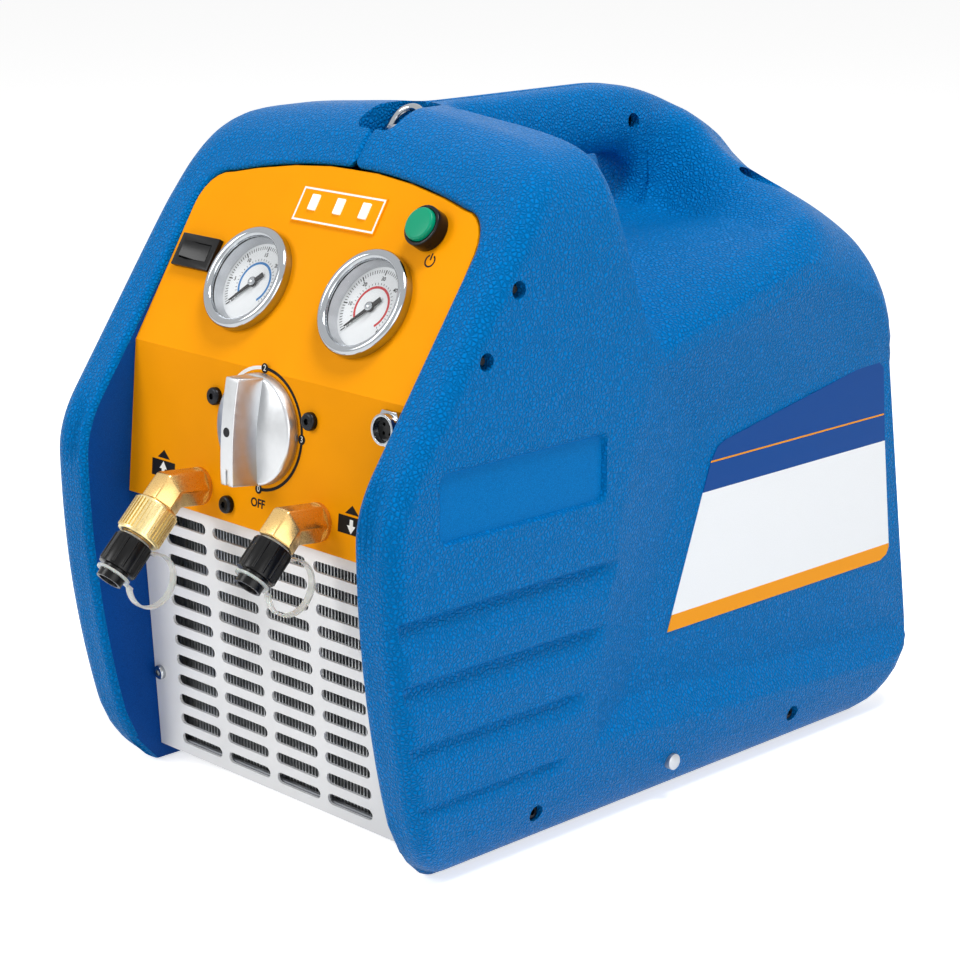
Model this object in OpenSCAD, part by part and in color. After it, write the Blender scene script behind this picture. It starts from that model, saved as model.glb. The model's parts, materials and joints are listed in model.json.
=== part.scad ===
// Portable refrigerant recovery machine.
// Two blow-moulded half shells meet on the plane X = 0. The front opening holds a bent control panel
// over a slotted grille, and the condenser, fan, compressor and valve block stand inside on a base pan.
// Frame: +X to the right seen from the front, -Y front, +Z up, origin under the middle of the case.

/* [Case] */
// Overall width across the two shells
body_w = 264; // [250:1:280]
// Overall length from the knee of the front rim to the rear skirt
body_l = 414; // [404:1:430]
// Overall height to the top of the handle
body_h = 360; // [352:1:372]
// Width of the shell's side wall from its outside to the inner face
side_wall = 26.5; // [24:0.5:28]
// Drop from the top of the handle to the knee, the foremost point of the rim
knee_drop = 182; // [178:1:186]
// Lean of the front rim above the knee, in degrees
front_lean = 35; // [33:0.5:36]
// Rounding of the rim's outer edge at the sides
rim_round = 10; // [8:1:14]
// Rounding of the hood's upper front edge
hood_round = 24; // [20:1:26]
// Depth of the hood from the roof line to the top of the front opening
hood_depth = 29; // [27:1:33]
// Depth of the side pocket that takes the label
pocket_depth = 10; // [6:0.5:11]
// Number of lapped boards moulded low on each side
board_count = 4; // [2:1:4]
// Height of one lapped board
board_pitch = 31.7; // [28:0.1:32]
// Depth of the step between two boards
board_step = 4; // [2:0.5:5]

/* [Handle] */
// Half thickness of the handle
handle_half = 17; // [14:0.5:19]
// Height of the hand opening
grip_h = 37; // [32:1:40]
// Distance that the hand opening keeps from the hood and from the rear roof
grip_gap = 4; // [3:0.5:8]
// Depth of the handle bar above the opening
grip_bar = 31; // [28:1:34]

/* [Control panel] */
// Thickness of the panel sheet
panel_t = 2.5; // [2:0.1:3]
// Drop from the top of the handle to the bend between the two faces
bend_drop = 123; // [119:1:127]
// How far the bend lies behind the knee
bend_back = 37; // [35:1:40]
// Lean of the lower face, in degrees
lower_lean = 5.5; // [4:0.5:7]
// Lean of the upper face, in degrees
upper_lean = 32; // [31:0.5:33]
// Length of the lower face below the bend
lower_len = 81; // [80:1:83]

/* [Gauges] */
// Outer diameter of a gauge bezel
bezel_d = 56; // [54:0.5:57]
// Height of the bezel above the panel
bezel_h = 7; // [6:0.5:9]
// Distance between the gauge centres
gauge_pitch = 88.5; // [86:0.5:90]
// Thickness of the gauge lens
lens_t = 1.6; // [1.2:0.1:2]

/* [Selector knob] */
// Diameter of the knob
knob_d = 56; // [50:1:58]
// Height of the knob above the panel
knob_h = 27; // [24:1:32]
// Width of the grip bar
knob_bar = 13; // [11:0.5:15]
// Diameter of the valve stem
stem_d = 10; // [8:0.5:12]

/* [Fittings] */
// Distance between the two fittings
port_pitch = 92; // [88:1:96]
// Width across the flats of the elbows
elbow_af = 17; // [15:0.5:18]
// Length of the elbow's leg that stands on the panel
elbow_leg = 20; // [18:1:24]
// Outer diameter of the threaded nipple
nipple_d = 11.1; // [10:0.1:12]
// Outer diameter of a cap
cap_d = 20; // [19:0.5:22]
// Length of a cap
cap_len = 24; // [22:1:26]
// Length of the knurled collar
collar_len = 20; // [16:1:22]

/* [Grille and condenser] */
// Thickness of the grille sheet
grille_t = 1.5; // [1:0.1:2]
// Number of slot columns
slot_cols = 5; // [4:1:6]
// Height of one slot
slot_h = 6; // [5:0.2:6.6]
// Web between two columns
slot_web = 7; // [6:0.5:9]
// Spacing of the slot rows
row_pitch = 11.4; // [10.8:0.1:11.5]
// Spacing of the condenser fins
fin_pitch = 5; // [4:0.5:8]
// Outer diameter of the condenser tubes
tube_d = 8.4; // [7:0.2:9]
// Spacing of the condenser tube rows
tube_pitch = 20; // [18:0.5:20]

/* [Fan and compressor] */
// Distance of the fan's tips from the upper and lower edge of the condenser
fan_inset = 11; // [10:0.5:16]
// Diameter of the compressor motor
motor_d = 110; // [100:1:112]
// Length of the compressor motor
motor_len = 105; // [95:1:110]
// Thickness of the base pan sheet
pan_t = 2; // [1.5:0.1:2.5]
// Height of the rubber feet
foot_h = 9; // [7:0.5:11]

/* [Hidden] */
$fn = 48;
seat = 0.3;                          // gap between a loose piece and its neighbour
play = 0.05;                         // radial clearance of a turning fit
half_w = body_w / 2;
inner_w = half_w - side_wall;        // inner half width of the case
case_shift = 4;                      // the case's middle lies this far in front of the origin
front = -body_l / 2 - case_shift;
rear = body_l / 2 - case_shift;
knee_z = body_h - knee_drop;
bend_z = body_h - bend_drop;

// Front and rear outlines of the shell, Y as a function of Z
knee_run = 32.6;
belly_bend = 0.00085;
toe_h = 40;
toe_curl = 20;
skirt_z = 44;
skirt_curl = 52;
rear_rake = 0.16;
function curl(reach, full, z) = z >= full ? 0 : reach * (1 - sqrt(1 - pow((full - z) / full, 2)));
function front_y(z) =
    z < knee_z ? front + belly_bend * pow(knee_z - z, 2) + curl(toe_curl, toe_h, z)
    : z < knee_z + knee_run ? front + tan(front_lean) / (2 * knee_run) * pow(z - knee_z, 2)
    : front + tan(front_lean) * (z - knee_z - knee_run / 2);
function rear_y(z) = z < skirt_z ? rear - curl(skirt_curl, skirt_z, z) : rear - rear_rake * (z - skirt_z);

// Roof line along the centre, which is also the top of the handle
fall_y = rear - 153;
fall_bend = 310;
function roof_z(y) = body_h - pow(max(0, y - fall_y), 2) / fall_bend;
function smooth(a, b, y) = let (t = min(1, max(0, (y - a) / (b - a)))) t * t * (3 - 2 * t);
function mix(a, b, t) = a * (1 - t) + b * t;

// Cross sections of a half shell as points [x, z] from the bottom edge up to the centre line
foot_rows = [[21, 1.5], [13.5, 6], [7.5, 14], [2.5, 34]];
belly_rows = [0.25, 0.5, 0.75];
// Hood and rear roof: share of the half width, drop below the roof line
hood_roof = [[1, 70], [0.995, 50], [0.975, 34], [0.925, 21], [0.84, 13], [0.72, 8.6], [0.55, 5.4],
             [0.35, 2.9], [0.23, 1.4], [0.15, 0.6], [0.085, 0.2], [0.042, 0.05], [0, 0]];
rear_roof = [[1, 105], [0.985, 81], [0.945, 66], [0.875, 54], [0.77, 45], [0.632, 38], [0.485, 31.5],
             [0.34, 24], [0.236, 15.5], [0.162, 7], [0.09, 2], [0.04, 0.5], [0, 0]];
grip_floor = body_h - grip_bar - grip_h;     // saddle under the hand opening
function ridge_z(y) = grip_floor - 43 + 0.27 * y;
function valley_roof(y) = let (r = ridge_z(y), f = grip_floor, h = handle_half, t = roof_z(y))
    [[half_w, r - 4], [half_w - 2, r + 4], [half_w - 8, r + 11], [half_w - 18, r + 17],
     [0.72 * half_w, mix(r + 17, f, 0.4)], [0.53 * half_w, mix(r + 17, f, 0.75)], [2 * h + 8, f - 4],
     [h + 9, f], [h + 1.5, f + 9], [h, f + 30], [h - 0.5, t - 17], [0.65 * h, t - 3.5], [0, t]];
hump_y = [front + 147, front + 191];
tail_y = [rear - 121, rear - 77];
function roof_rows(y) = let (h = 1 - smooth(hump_y[0], hump_y[1], y), r = smooth(tail_y[0], tail_y[1], y))
    [for (k = [0 : len(hood_roof) - 1])
        let (a = [hood_roof[k][0] * half_w, roof_z(y) - hood_roof[k][1]], b = valley_roof(y)[k],
             c = [rear_roof[k][0] * half_w, roof_z(y) - rear_roof[k][1]])
        mix(mix(b, c, r), a, h)];
function section(y) = let (roof = roof_rows(y), low = foot_rows[3][1], top = roof[0][1])
    concat([for (p = foot_rows) [half_w - p[0], p[1]]],
           [for (f = belly_rows) [half_w, mix(low, top, f)]], roof);
row_last = len(foot_rows) + len(belly_rows) + len(hood_roof) - 1;
hood_row = len(foot_rows) + len(belly_rows);

// Edge rounding: how far a row sinks at a share of the rounding's width from the edge
function sink(r, t) = r * (1 - sqrt(1 - pow(1 - t, 2)));
function unit(v) = v / norm(v);
function row_normal(s, j) = j == 0 ? [1, 0] : j == row_last ? [0, 1]
    : let (d = s[j + 1] - s[j - 1]) unit([d[1], -d[0]]);
function front_round(j) = j < hood_row ? rim_round : mix(rim_round, hood_round, min(1, (j - hood_row) / 5));
hood_y = front + 145;
tail_start = rear - 75;
rear_round = 20;
edge_steps = [0, 0.13, 0.45, 1];
function front_point(j, t) = let (s = section(hood_y), r = front_round(j),
    p = s[j] - row_normal(s, j) * sink(r, t)) [p[0], front_y(p[1]) + r * t, p[1]];
function rear_point(j, t) = let (guess = section(rear - rear_round)[j],
    s = section(rear_y(guess[1]) - rear_round * t), p = s[j] - row_normal(s, j) * sink(rear_round, t))
    [p[0], rear_y(p[1]) - rear_round * t, p[1]];
function at_y(j, y) = let (p = section(y)[j]) [p[0], y, p[1]];
middle_y = concat([hood_y], [for (t = [0.14, 0.32, 0.5, 0.68, 0.86, 1.05]) mix(hump_y[0], hump_y[1], t)],
                  [for (t = [0.2, 0.4, 0.6, 0.8]) mix(hump_y[1], tail_y[0], t)],
                  [for (t = [0, 0.2, 0.4, 0.6, 0.8]) mix(tail_y[0], tail_y[1], t)], [tail_start]);
zone_steps = [0.33, 0.67];
stations = [
    for (t = edge_steps) [for (j = [0 : row_last]) front_point(j, t)],
    for (t = zone_steps) [for (j = [0 : row_last]) let (a = front_point(j, 1)) at_y(j, mix(a[1], hood_y, t))],
    for (y = middle_y) [for (j = [0 : row_last]) at_y(j, y)],
    for (t = zone_steps) [for (j = [0 : row_last]) let (b = rear_point(j, 1)) at_y(j, mix(tail_start, b[1], t))],
    for (i = [len(edge_steps) - 1 : -1 : 0]) [for (j = [0 : row_last]) rear_point(j, edge_steps[i])]];

// Front opening and cavity
open_top = body_h - hood_depth;      // top of the opening at the centre
open_crown = 10;                     // how much its top edge is crowned
open_corner = 18;
back_top = body_h - 116;             // ceiling behind the hood
back_fall = 0.113;                   // slope of that ceiling towards the rear
ceiling_y = front + 166;

// Control panel: the bend line and the frames of its two faces
bend_y = front + bend_back;
panel_gap = seat;

// Places on the panel: x, distance up the face from the bend
gauge_v = 43.5;
gauge_mid = 7.25;
gauge_x = [gauge_mid - gauge_pitch / 2, gauge_mid + gauge_pitch / 2];
knob_v = -29;
port_v = -67;
port_x = [-port_pitch / 2, port_pitch / 2];
panel_screw_at = [[-36.7, -18.7], [36.7, -18.7], [-23, -72], [23, -72]];
button_at = [72, 86];
breaker_at = [-(inner_w - 20.5), 52];
lamp_at = [4, 88.5];
socket_at = [inner_w - 11, -12];

// Gauge, along the panel's normal from its outer face
case_r = bezel_d / 2 - 3.4;
case_deep = 28;
case_rim = bezel_h - lens_t - 2.4;
cup_deep = 3;
arbor_r = 1.2;
dial_t = 0.8;
lip_t = 2.2;
case_wall = 1.4;

// Valve block and knob
block_w = 120;
block_t = 40;
block_v = [-77, -8];
stem_r = stem_d / 2;
stem_in = 22;
knob_seat = 0.4;
knob_base = 6;
scoop_r = knob_h - knob_base;
screw_r = 2;
screw_bore = 2.2;

// Push button and breaker
button_r = 8.6;
button_travel = 3;
barrel_r = 9.4;
breaker_size = [30, 18];
rocker_size = [21, 9];
rocker_tilt = 12;

// Indicator window and lamps
lamp_frame = [62, 19.5];
lamp_size = [5.5, 8.5];
lamp_pitch = 19;

// Fittings: the outer leg points forward and down at 45 degrees
drop_angle = 45 + lower_lean;
neck_r = 8.2;
hex_len = 10;
collar_r = 11.5;
nipple_len = 13;
cap_neck_len = 7;
cap_neck_r = 7;
strap_t = 1.2;
strap_w = 4;
strap_r = 14;

// Grille plane and slots
grille_drop = 7;                     // top of the grille behind the panel's lower edge
grille_lean = 3.2;
grille_z = 10;
panel_foot_z = bend_z - lower_len * cos(lower_lean);
panel_foot_y = bend_y - lower_len * sin(lower_lean);
grille_h = (panel_foot_z - 0.4 - grille_z) / cos(grille_lean);
grille_y = panel_foot_y + grille_drop + grille_h * sin(grille_lean);
grille_edge = 5;
col_pitch = 2 * (inner_w - grille_edge) / slot_cols;
slot_len = col_pitch - slot_web;
slot_base = 9;
slot_rows = floor((grille_h - slot_base - slot_h) / row_pitch) + 1;
grille_screw_x = inner_w - 5.5;
grille_screw_at = [for (x = [-grille_screw_x, grille_screw_x]) for (v = [grille_h - 11, 43]) [x, v]];

// Base pan and rear panel
pan_top = foot_h + pan_t;
pan_w = inner_w - 0.4;
pan_front = grille_y + grille_t + seat;
pan_rear = rear - 33;
flange_h = 24;
base_screw_y = [front + 100, front + 201, rear - 112];
base_screw_z = 22;
rear_t = 1.5;
rear_h = back_top - back_fall * (pan_rear - ceiling_y) - 1;
vent_rows = 9;
vent_cols = 3;
vent_len = 40;
vent_h = 5;
inlet_at = [58, 44];

// Condenser
coil_y = grille_y + 19.5;
coil_depth = 28;
coil_z = pan_top + 13;
coil_rows = floor((panel_foot_z - 11 - coil_z) / tube_pitch) + 1;
tube_r = tube_d / 2;
bend_r = tube_pitch / 2;
coil_half = pan_w - pan_t - bend_r - tube_r - 0.6;
end_t = 1.5;
fin_t = 0.5;
fin_count = floor((2 * coil_half - 6) / fin_pitch);
coil_top = coil_z + (coil_rows - 1) * tube_pitch + 7;

// Fan
fan_y = coil_y + coil_depth / 2 + 10;
fan_z = coil_z + (coil_rows - 1) * tube_pitch / 2;
fan_r = (coil_top - pan_top) / 2 - fan_inset;
shroud_t = 2;
duct_r = fan_r + 3;
duct_len = 14;
blade_count = 5;
fan_len = 16;
hub_r = 18;
shaft_r = 3;
fan_motor_r = 22;
fan_motor_len = 34;
arm_r = fan_r + 9;

// Compressor
motor_y = front + 171;
motor_r = motor_d / 2;
cradle_z = pan_top + 6;
cradle_t = 3;
motor_z = cradle_z + cradle_t + 10 + motor_r;
crank_len = 50;
crank_r = 44;
head_y = motor_y + motor_len + crank_len / 2;
barrel_len = 30;
head_t = 15;
head_size = 52;
head_x = crank_r + barrel_len - 4;
pipe_r = 4;

// Carry ring in its recess on the roof
ring_y = front + 129;
ring_floor = body_h - 18;
ring_recess = [28, 38];
ring_wire = 2.2;
ring_r = 9.3;
ring_leg = 6;
ring_axis_z = ring_floor + 4;
ring_rest = 40;

// Screws through the shells
rim_screw_at = [[front + 82, body_h - 70], [front + 61, body_h - 101]];
rim_screw_x = half_w - 12;
tail_screw_y = rear - 83;
tail_screw_at = [tail_screw_y, roof_z(tail_screw_y) - 35];
tail_screw_x = 39;
handle_screw_y = [hump_y[1] - 6, tail_y[0] - 7];
handle_screw_at = [[handle_screw_y[0], roof_z(handle_screw_y[0]) - 22], [handle_screw_y[1], roof_z(handle_screw_y[1]) - 19]];
handle_screw_x = handle_half - 8;
base_screw_x = half_w - 10;
head_r = 4;
head_t_screw = 3;
sink_r = 4.5;

// Helpers

// Frames of the panel faces: local x along X, local y up the face, local z out of the face
module on_face(lean, x, v) {
    translate([0, bend_y, bend_z]) rotate([90 - lean, 0, 0]) translate([x, v, 0]) children();
}
module on_lower(p) { on_face(lower_lean, p[0], p[1]) children(); }
module on_upper(p) { on_face(upper_lean, p[0], p[1]) children(); }
module on_grille(p) {
    translate([0, grille_y, grille_z]) rotate([90 + grille_lean, 0, 0]) translate([p[0], p[1], 0]) children();
}
// Profile in Y and Z, extruded along X from -w to w
module across(w) { rotate([90, 0, 90]) translate([0, 0, -w]) linear_extrude(2 * w) children(); }
// Outline in X and Z, extruded along Y from y0 to y1
module along(y0, y1) { translate([0, y1, 0]) rotate([90, 0, 0]) linear_extrude(y1 - y0) children(); }
// Cylinder along X from a to b
module rod_x(a, b, r, y, z) { translate([a, y, z]) rotate([0, 90, 0]) cylinder(h = b - a, r = r); }
// Cylinder along Y from a to b
module rod_y(a, b, r, x, z) { translate([x, a, z]) rotate([-90, 0, 0]) cylinder(h = b - a, r = r); }
// Round-ended slot, length along local x
module slot(len, h) {
    square([len - h, h], center = true);
    for (s = [-1, 1]) translate([s * (len - h) / 2, 0]) circle(d = h);
}
// Tube of cylinders through a list of points, with a ball at each corner
module run_pipe(points, r) {
    for (i = [0 : len(points) - 2]) let (d = points[i + 1] - points[i], l = norm(d))
        translate(points[i]) rotate([0, acos(d[2] / l), atan2(d[1], d[0])]) cylinder(h = l, r = r);
    for (i = [1 : len(points) - 2]) translate(points[i]) sphere(r = r + 0.15);
}
// Outline of the front opening: straight sides and a crowned top with round corners
module opening_outline(gap) {
    w = inner_w - gap;
    top = open_top - gap;
    c = open_corner;
    flat = w - c;
    crown_r = (flat * flat + open_crown * open_crown) / (2 * open_crown);
    side = [for (a = [0 : 15 : 90]) [flat + c * cos(a), top - open_crown - c + c * sin(a)]];
    crown = [for (t = [0.8, 0.5, 0.2, -0.2, -0.5, -0.8]) let (x = flat * t) [x, top - crown_r + sqrt(crown_r * crown_r - x * x)]];
    other = [for (i = [len(side) - 1 : -1 : 0]) [-side[i][0], side[i][1]]];
    polygon(concat([[w, -1]], side, crown, other, [[-w, -1]]));
}

// Shells

// Closed loft of one half: outside skin, front and rear edges, bottom and parting face.
// The front edge is one flat face above the knee, and the rear edge one above the skirt.
module half_body() {
    n = len(stations);
    m = row_last + 1;
    flat_front = hood_row - 1;
    flat_rear = len(foot_rows);
    skin = [for (s = stations) for (p = s) p];
    // Feet of the closing faces on the parting plane
    front_feet = [for (j = [0 : flat_front]) [0, stations[0][j][1], stations[0][j][2]]];
    rear_feet = [for (j = [0 : flat_rear]) [0, stations[n - 1][j][1], stations[n - 1][j][2]]];
    f0 = n * m;
    r0 = f0 + flat_front + 1;
    function id(i, j) = i * m + j;
    outside = [for (i = [0 : n - 2]) for (j = [0 : m - 2]) each
        [[id(i, j), id(i, j + 1), id(i + 1, j + 1)], [id(i, j), id(i + 1, j + 1), id(i + 1, j)]]];
    front_low = [for (j = [0 : flat_front - 1]) [f0 + j, f0 + j + 1, id(0, j + 1), id(0, j)]];
    front_high = [concat([f0 + flat_front], [for (j = [m - 1 : -1 : flat_front]) id(0, j)])];
    rear_low = [for (j = [0 : flat_rear - 1]) [r0 + j, id(n - 1, j), id(n - 1, j + 1), r0 + j + 1]];
    rear_high = [concat([r0 + flat_rear], [for (j = [flat_rear : m - 1]) id(n - 1, j)])];
    bottom = [concat([f0], [for (i = [0 : n - 1]) id(i, 0)], [r0])];
    parting = [concat([for (i = [0 : n - 1]) id(i, m - 1)], [for (j = [flat_rear : -1 : 0]) r0 + j],
                      [for (j = [0 : flat_front]) f0 + j])];
    polyhedron(concat(skin, front_feet, rear_feet),
               concat(outside, front_low, front_high, rear_low, rear_high, bottom, parting));
}
// Space inside the case, open to the front, the rear and below
module cavity() {
    far = body_l;
    intersection() {
        across(inner_w) polygon([[-far, -1], [-far, open_top + 1], [hood_y - 8, open_top + 1],
            [ceiling_y, back_top], [far, back_top - back_fall * (far - ceiling_y)], [far, -1]]);
        along(-far, far) opening_outline(0);
    }
}
// Tapered pocket on the right side, from the ridge lines down to the label's flat
pocket_y = [front + 178, rear - 83, rear + 30];
pocket_mouth = [[pocket_y[0], ridge_z(pocket_y[0]) - 4], [pocket_y[1], ridge_z(pocket_y[1]) - 14],
                [pocket_y[2], ridge_z(pocket_y[1]) - 60], [pocket_y[2], 24], [pocket_y[0] - 46, 46],
                [pocket_y[0] - 18, knee_z + 10]];
pocket_floor = [[pocket_y[0] + 41, knee_z + 20], [pocket_y[2], knee_z + 32], [pocket_y[2], 44], [pocket_y[0] - 8, 64]];
module side_pocket() {
    deep = half_w - pocket_depth;
    hull() {
        translate([half_w + 1, 0, 0]) rotate([90, 0, 90]) linear_extrude(1) polygon(pocket_mouth);
        translate([deep, 0, 0]) rotate([90, 0, 90]) linear_extrude(1) polygon(pocket_floor);
    }
}
// Steps between the lapped boards
board_top = knee_z - 34;
board_end = front + 159;
module board_steps() {
    for (k = [0 : board_count - 1]) let (z = board_top - k * board_pitch, end = board_end - 0.31 * (board_top - z))
        along(front - 1, end) polygon([[half_w + 1, z], [half_w - board_step, z], [half_w - board_step, z - 2],
                                       [half_w + 0.2, z - 16], [half_w + 1, z - 16]]);
}
// Bare recess on the side, above the boards
plate_y = [front + 31, front + 143];
plate_z = [knee_z - 2, knee_z + 26];
plate_deep = 2;
module plate_recess() {
    mid = [(plate_y[0] + plate_y[1]) / 2, (plate_z[0] + plate_z[1]) / 2];
    size = [plate_y[1] - plate_y[0], plate_z[1] - plate_z[0]];
    corner = 5;
    translate([half_w - plate_deep, mid[0], mid[1]]) rotate([90, 0, 90]) linear_extrude(20) union() {
        square([size[0] - 2 * corner, size[1]], center = true);
        square([size[0], size[1] - 2 * corner], center = true);
        for (a = [-1, 1]) for (b = [-1, 1])
            translate([a * (size[0] / 2 - corner), b * (size[1] / 2 - corner)]) circle(r = corner);
    }
}
// Hand opening through the handle
module hand_opening() {
    reach = handle_half + 23;
    end_r = grip_h / 2 - 2.5;
    y0 = hump_y[1] + grip_gap;
    grip_l = tail_y[0] - grip_gap - y0;
    across(reach) translate([y0, grip_floor]) union() {
        translate([end_r, 0]) square([grip_l - 2 * end_r, grip_h]);
        translate([0, end_r]) square([grip_l, grip_h - 2 * end_r]);
        for (a = [end_r, grip_l - end_r]) for (b = [end_r, grip_h - end_r]) translate([a, b]) circle(r = end_r);
    }
}
module shell_bores() {
    out = half_w + 1;
    for (p = rim_screw_at) {
        rod_x(rim_screw_x, out, sink_r, p[0], p[1]);
        rod_x(rim_screw_x - 5, rim_screw_x + 1, screw_bore, p[0], p[1]);
    }
    rod_x(tail_screw_x, out, sink_r, tail_screw_at[0], tail_screw_at[1]);
    rod_x(-1, tail_screw_x + 1, screw_bore, tail_screw_at[0], tail_screw_at[1]);
    for (p = handle_screw_at) {
        rod_x(handle_screw_x, handle_half + 14, sink_r, p[0], p[1]);
        rod_x(-1, handle_screw_x + 1, screw_bore, p[0], p[1]);
    }
    for (y = base_screw_y) {
        rod_x(base_screw_x, out, sink_r, y, base_screw_z);
        rod_x(inner_w - 1, base_screw_x + 1, screw_bore, y, base_screw_z);
    }
}
module ring_pocket() {
    translate([-1, ring_y - ring_recess[1] / 2, ring_floor]) cube([ring_recess[0] / 2 + 1, ring_recess[1], 40]);
}
module half_shell() {
    difference() {
        half_body();
        cavity();
        side_pocket();
        board_steps();
        plate_recess();
        hand_opening();
        shell_bores();
        ring_pocket();
    }
}
module right_shell() { color("#0b6fbf") half_shell(); }
module left_shell() { color("#0b6fbf") mirror([1, 0, 0]) half_shell(); }

// Sheet metal

module base_pan() {
    color("#b9bcbf") difference() {
        union() {
            translate([-pan_w, pan_front, foot_h]) cube([2 * pan_w, pan_rear - pan_front, pan_t]);
            for (s = [-1, 1]) translate([s > 0 ? pan_w - pan_t : -pan_w, pan_front, foot_h])
                cube([pan_t, pan_rear - pan_front, flange_h]);
            translate([-pan_w, pan_front, foot_h]) cube([2 * pan_w, pan_t, 8]);
        }
        for (y = base_screw_y) rod_x(-half_w, half_w, screw_bore, y, base_screw_z);
    }
}
foot_r = 14;
module rubber_feet() {
    color("#1c1c1e") for (x = [-1, 1]) for (y = [pan_front + 28, pan_rear - 28])
        translate([x * (inner_w - 24), y, 0]) {
            cylinder(h = foot_h, r1 = foot_r - 2, r2 = foot_r);
        }
}
// Bent sheet with a lower return, cut to the opening
module control_panel() {
    lo = [sin(lower_lean), cos(lower_lean)];
    up = [sin(upper_lean), cos(upper_lean)];
    bend = [bend_y, bend_z];
    foot = bend - lo * lower_len;
    top = bend + up * (body_h - bend_z);
    back_lo = [cos(lower_lean), -sin(lower_lean)] * panel_t;
    back_up = [cos(upper_lean), -sin(upper_lean)] * panel_t;
    mid_lean = (lower_lean + upper_lean) / 2;
    back_bend = bend + [cos(mid_lean), -sin(mid_lean)] * panel_t / cos(upper_lean - mid_lean);
    color("#f6a01a") difference() {
        intersection() {
            across(inner_w) polygon([foot, bend, top, top + back_up, back_bend, foot + back_lo + lo * panel_t,
                                     foot + [grille_drop - 0.5, panel_t], foot + [grille_drop - 0.5, 0]]);
            along(-body_l, body_l) opening_outline(panel_gap);
        }
        for (x = gauge_x) on_upper([x, gauge_v]) hole(case_r + 0.4);
        on_upper(button_at) hole(barrel_r + 0.2);
        on_upper(breaker_at) window([breaker_size[0] - 4, breaker_size[1] - 4]);
        on_lower([0, knob_v]) hole(stem_r + 0.6);
        for (x = port_x) on_lower([x, port_v]) hole(neck_r);
        for (p = panel_screw_at) on_lower(p) hole(screw_bore);
        on_lower(socket_at) hole(socket_r - 2);
    }
}
module hole(r) { translate([0, 0, -3 * panel_t]) cylinder(h = 6 * panel_t, r = r); }
module window(size) { translate([0, 0, 0]) cube([size[0], size[1], 6 * panel_t], center = true); }

module front_grille() {
    w = inner_w - seat;
    color("#d9dadc") difference() {
        on_grille([0, 0]) translate([-w, 0, -grille_t]) cube([2 * w, grille_h, grille_t]);
        for (c = [0 : slot_cols - 1]) for (r = [0 : slot_rows - 1])
            on_grille([(c - (slot_cols - 1) / 2) * col_pitch, slot_base + r * row_pitch])
                translate([0, 0, -2 * grille_t]) linear_extrude(3 * grille_t) slot(slot_len, slot_h);
        for (p = grille_screw_at) on_grille(p) translate([0, 0, -2 * grille_t]) cylinder(h = 3 * grille_t, r = screw_bore);
    }
}
module rear_panel() {
    y0 = pan_rear - rear_t - pan_t;
    color("#b9bcbf") difference() {
        translate([-(pan_w - pan_t - seat), y0, pan_top])
            cube([2 * (pan_w - pan_t - seat), rear_t, rear_h - pan_top]);
        for (c = [0 : vent_cols - 1]) for (r = [0 : vent_rows - 1])
            translate([(c - (vent_cols - 1) / 2) * (vent_len + 12), y0 + 10, rear_h - 22 - r * 2.4 * vent_h])
                rotate([90, 0, 0]) linear_extrude(20) slot(vent_len, vent_h);
        translate([inlet_at[0], y0, inlet_at[1]]) cube([inlet_size[0] + 0.6, 20, inlet_size[1] + 0.6], center = true);
    }
}
// Mains inlet: a flanged body set in the rear panel, with an open socket and three blades
inlet_size = [28, 20];
inlet_deep = 22;
inlet_wall = 2.5;
inlet_floor = 4;
module inlet_place() { translate([inlet_at[0], pan_rear - pan_t, inlet_at[1]]) rotate([-90, 0, 0]) children(); }
module power_inlet() {
    color("#1c1c1e") inlet_place() difference() {
        union() {
            translate([-(inlet_size[0] / 2 + 7), -(inlet_size[1] / 2 + 3), 0])
                cube([inlet_size[0] + 14, inlet_size[1] + 6, 2.5]);
            translate([-inlet_size[0] / 2, -inlet_size[1] / 2, -inlet_deep]) cube([inlet_size[0], inlet_size[1], inlet_deep]);
        }
        translate([-inlet_size[0] / 2 + inlet_wall, -inlet_size[1] / 2 + inlet_wall, inlet_floor - inlet_deep])
            cube([inlet_size[0] - 2 * inlet_wall, inlet_size[1] - 2 * inlet_wall, inlet_deep + 10]);
    }
}
module inlet_pins() {
    color("#c9b37a") inlet_place() for (p = [[-7, 2.5], [7, 2.5], [0, -2.5]])
        translate([p[0] - 1, p[1] - 2, inlet_floor - inlet_deep]) cube([2, 4, 12]);
}

// Gauges, drawn along the panel's normal from its outer face

module gauge_case() {
    color("#2b2b2d") difference() {
        translate([0, 0, -case_deep]) cylinder(h = case_deep + case_rim, r = case_r);
        translate([0, 0, -cup_deep]) cylinder(h = cup_deep + case_rim + 1, r = case_r - case_wall);
        translate([0, 0, -cup_deep - 4]) cylinder(h = 5, r = arbor_r + play);
    }
}
module gauge_bezel() {
    color("#d6d8da") rotate_extrude() {
        bore = case_r + 0.2;
        r = bezel_d / 2;
        edge = 2;
        polygon(concat([[bore, 0], [r, 0], [r, bezel_h - edge]],
            [for (a = [15 : 15 : 90]) [r - edge + edge * cos(a), bezel_h - edge + edge * sin(a)]],
            [[case_r - lip_t, bezel_h], [case_r - lip_t, bezel_h - lip_t], [bore, bezel_h - lip_t]]));
    }
}
module gauge_dial() {
    color("white") translate([0, 0, -cup_deep]) difference() {
        cylinder(h = dial_t, r = case_r - case_wall - 0.3);
        translate([0, 0, -1]) cylinder(h = dial_t + 2, r = arbor_r + 0.5);
    }
}
needle_rest = 225;                   // direction of the needle on the dial, from local x
needle_len = 17;
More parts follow.
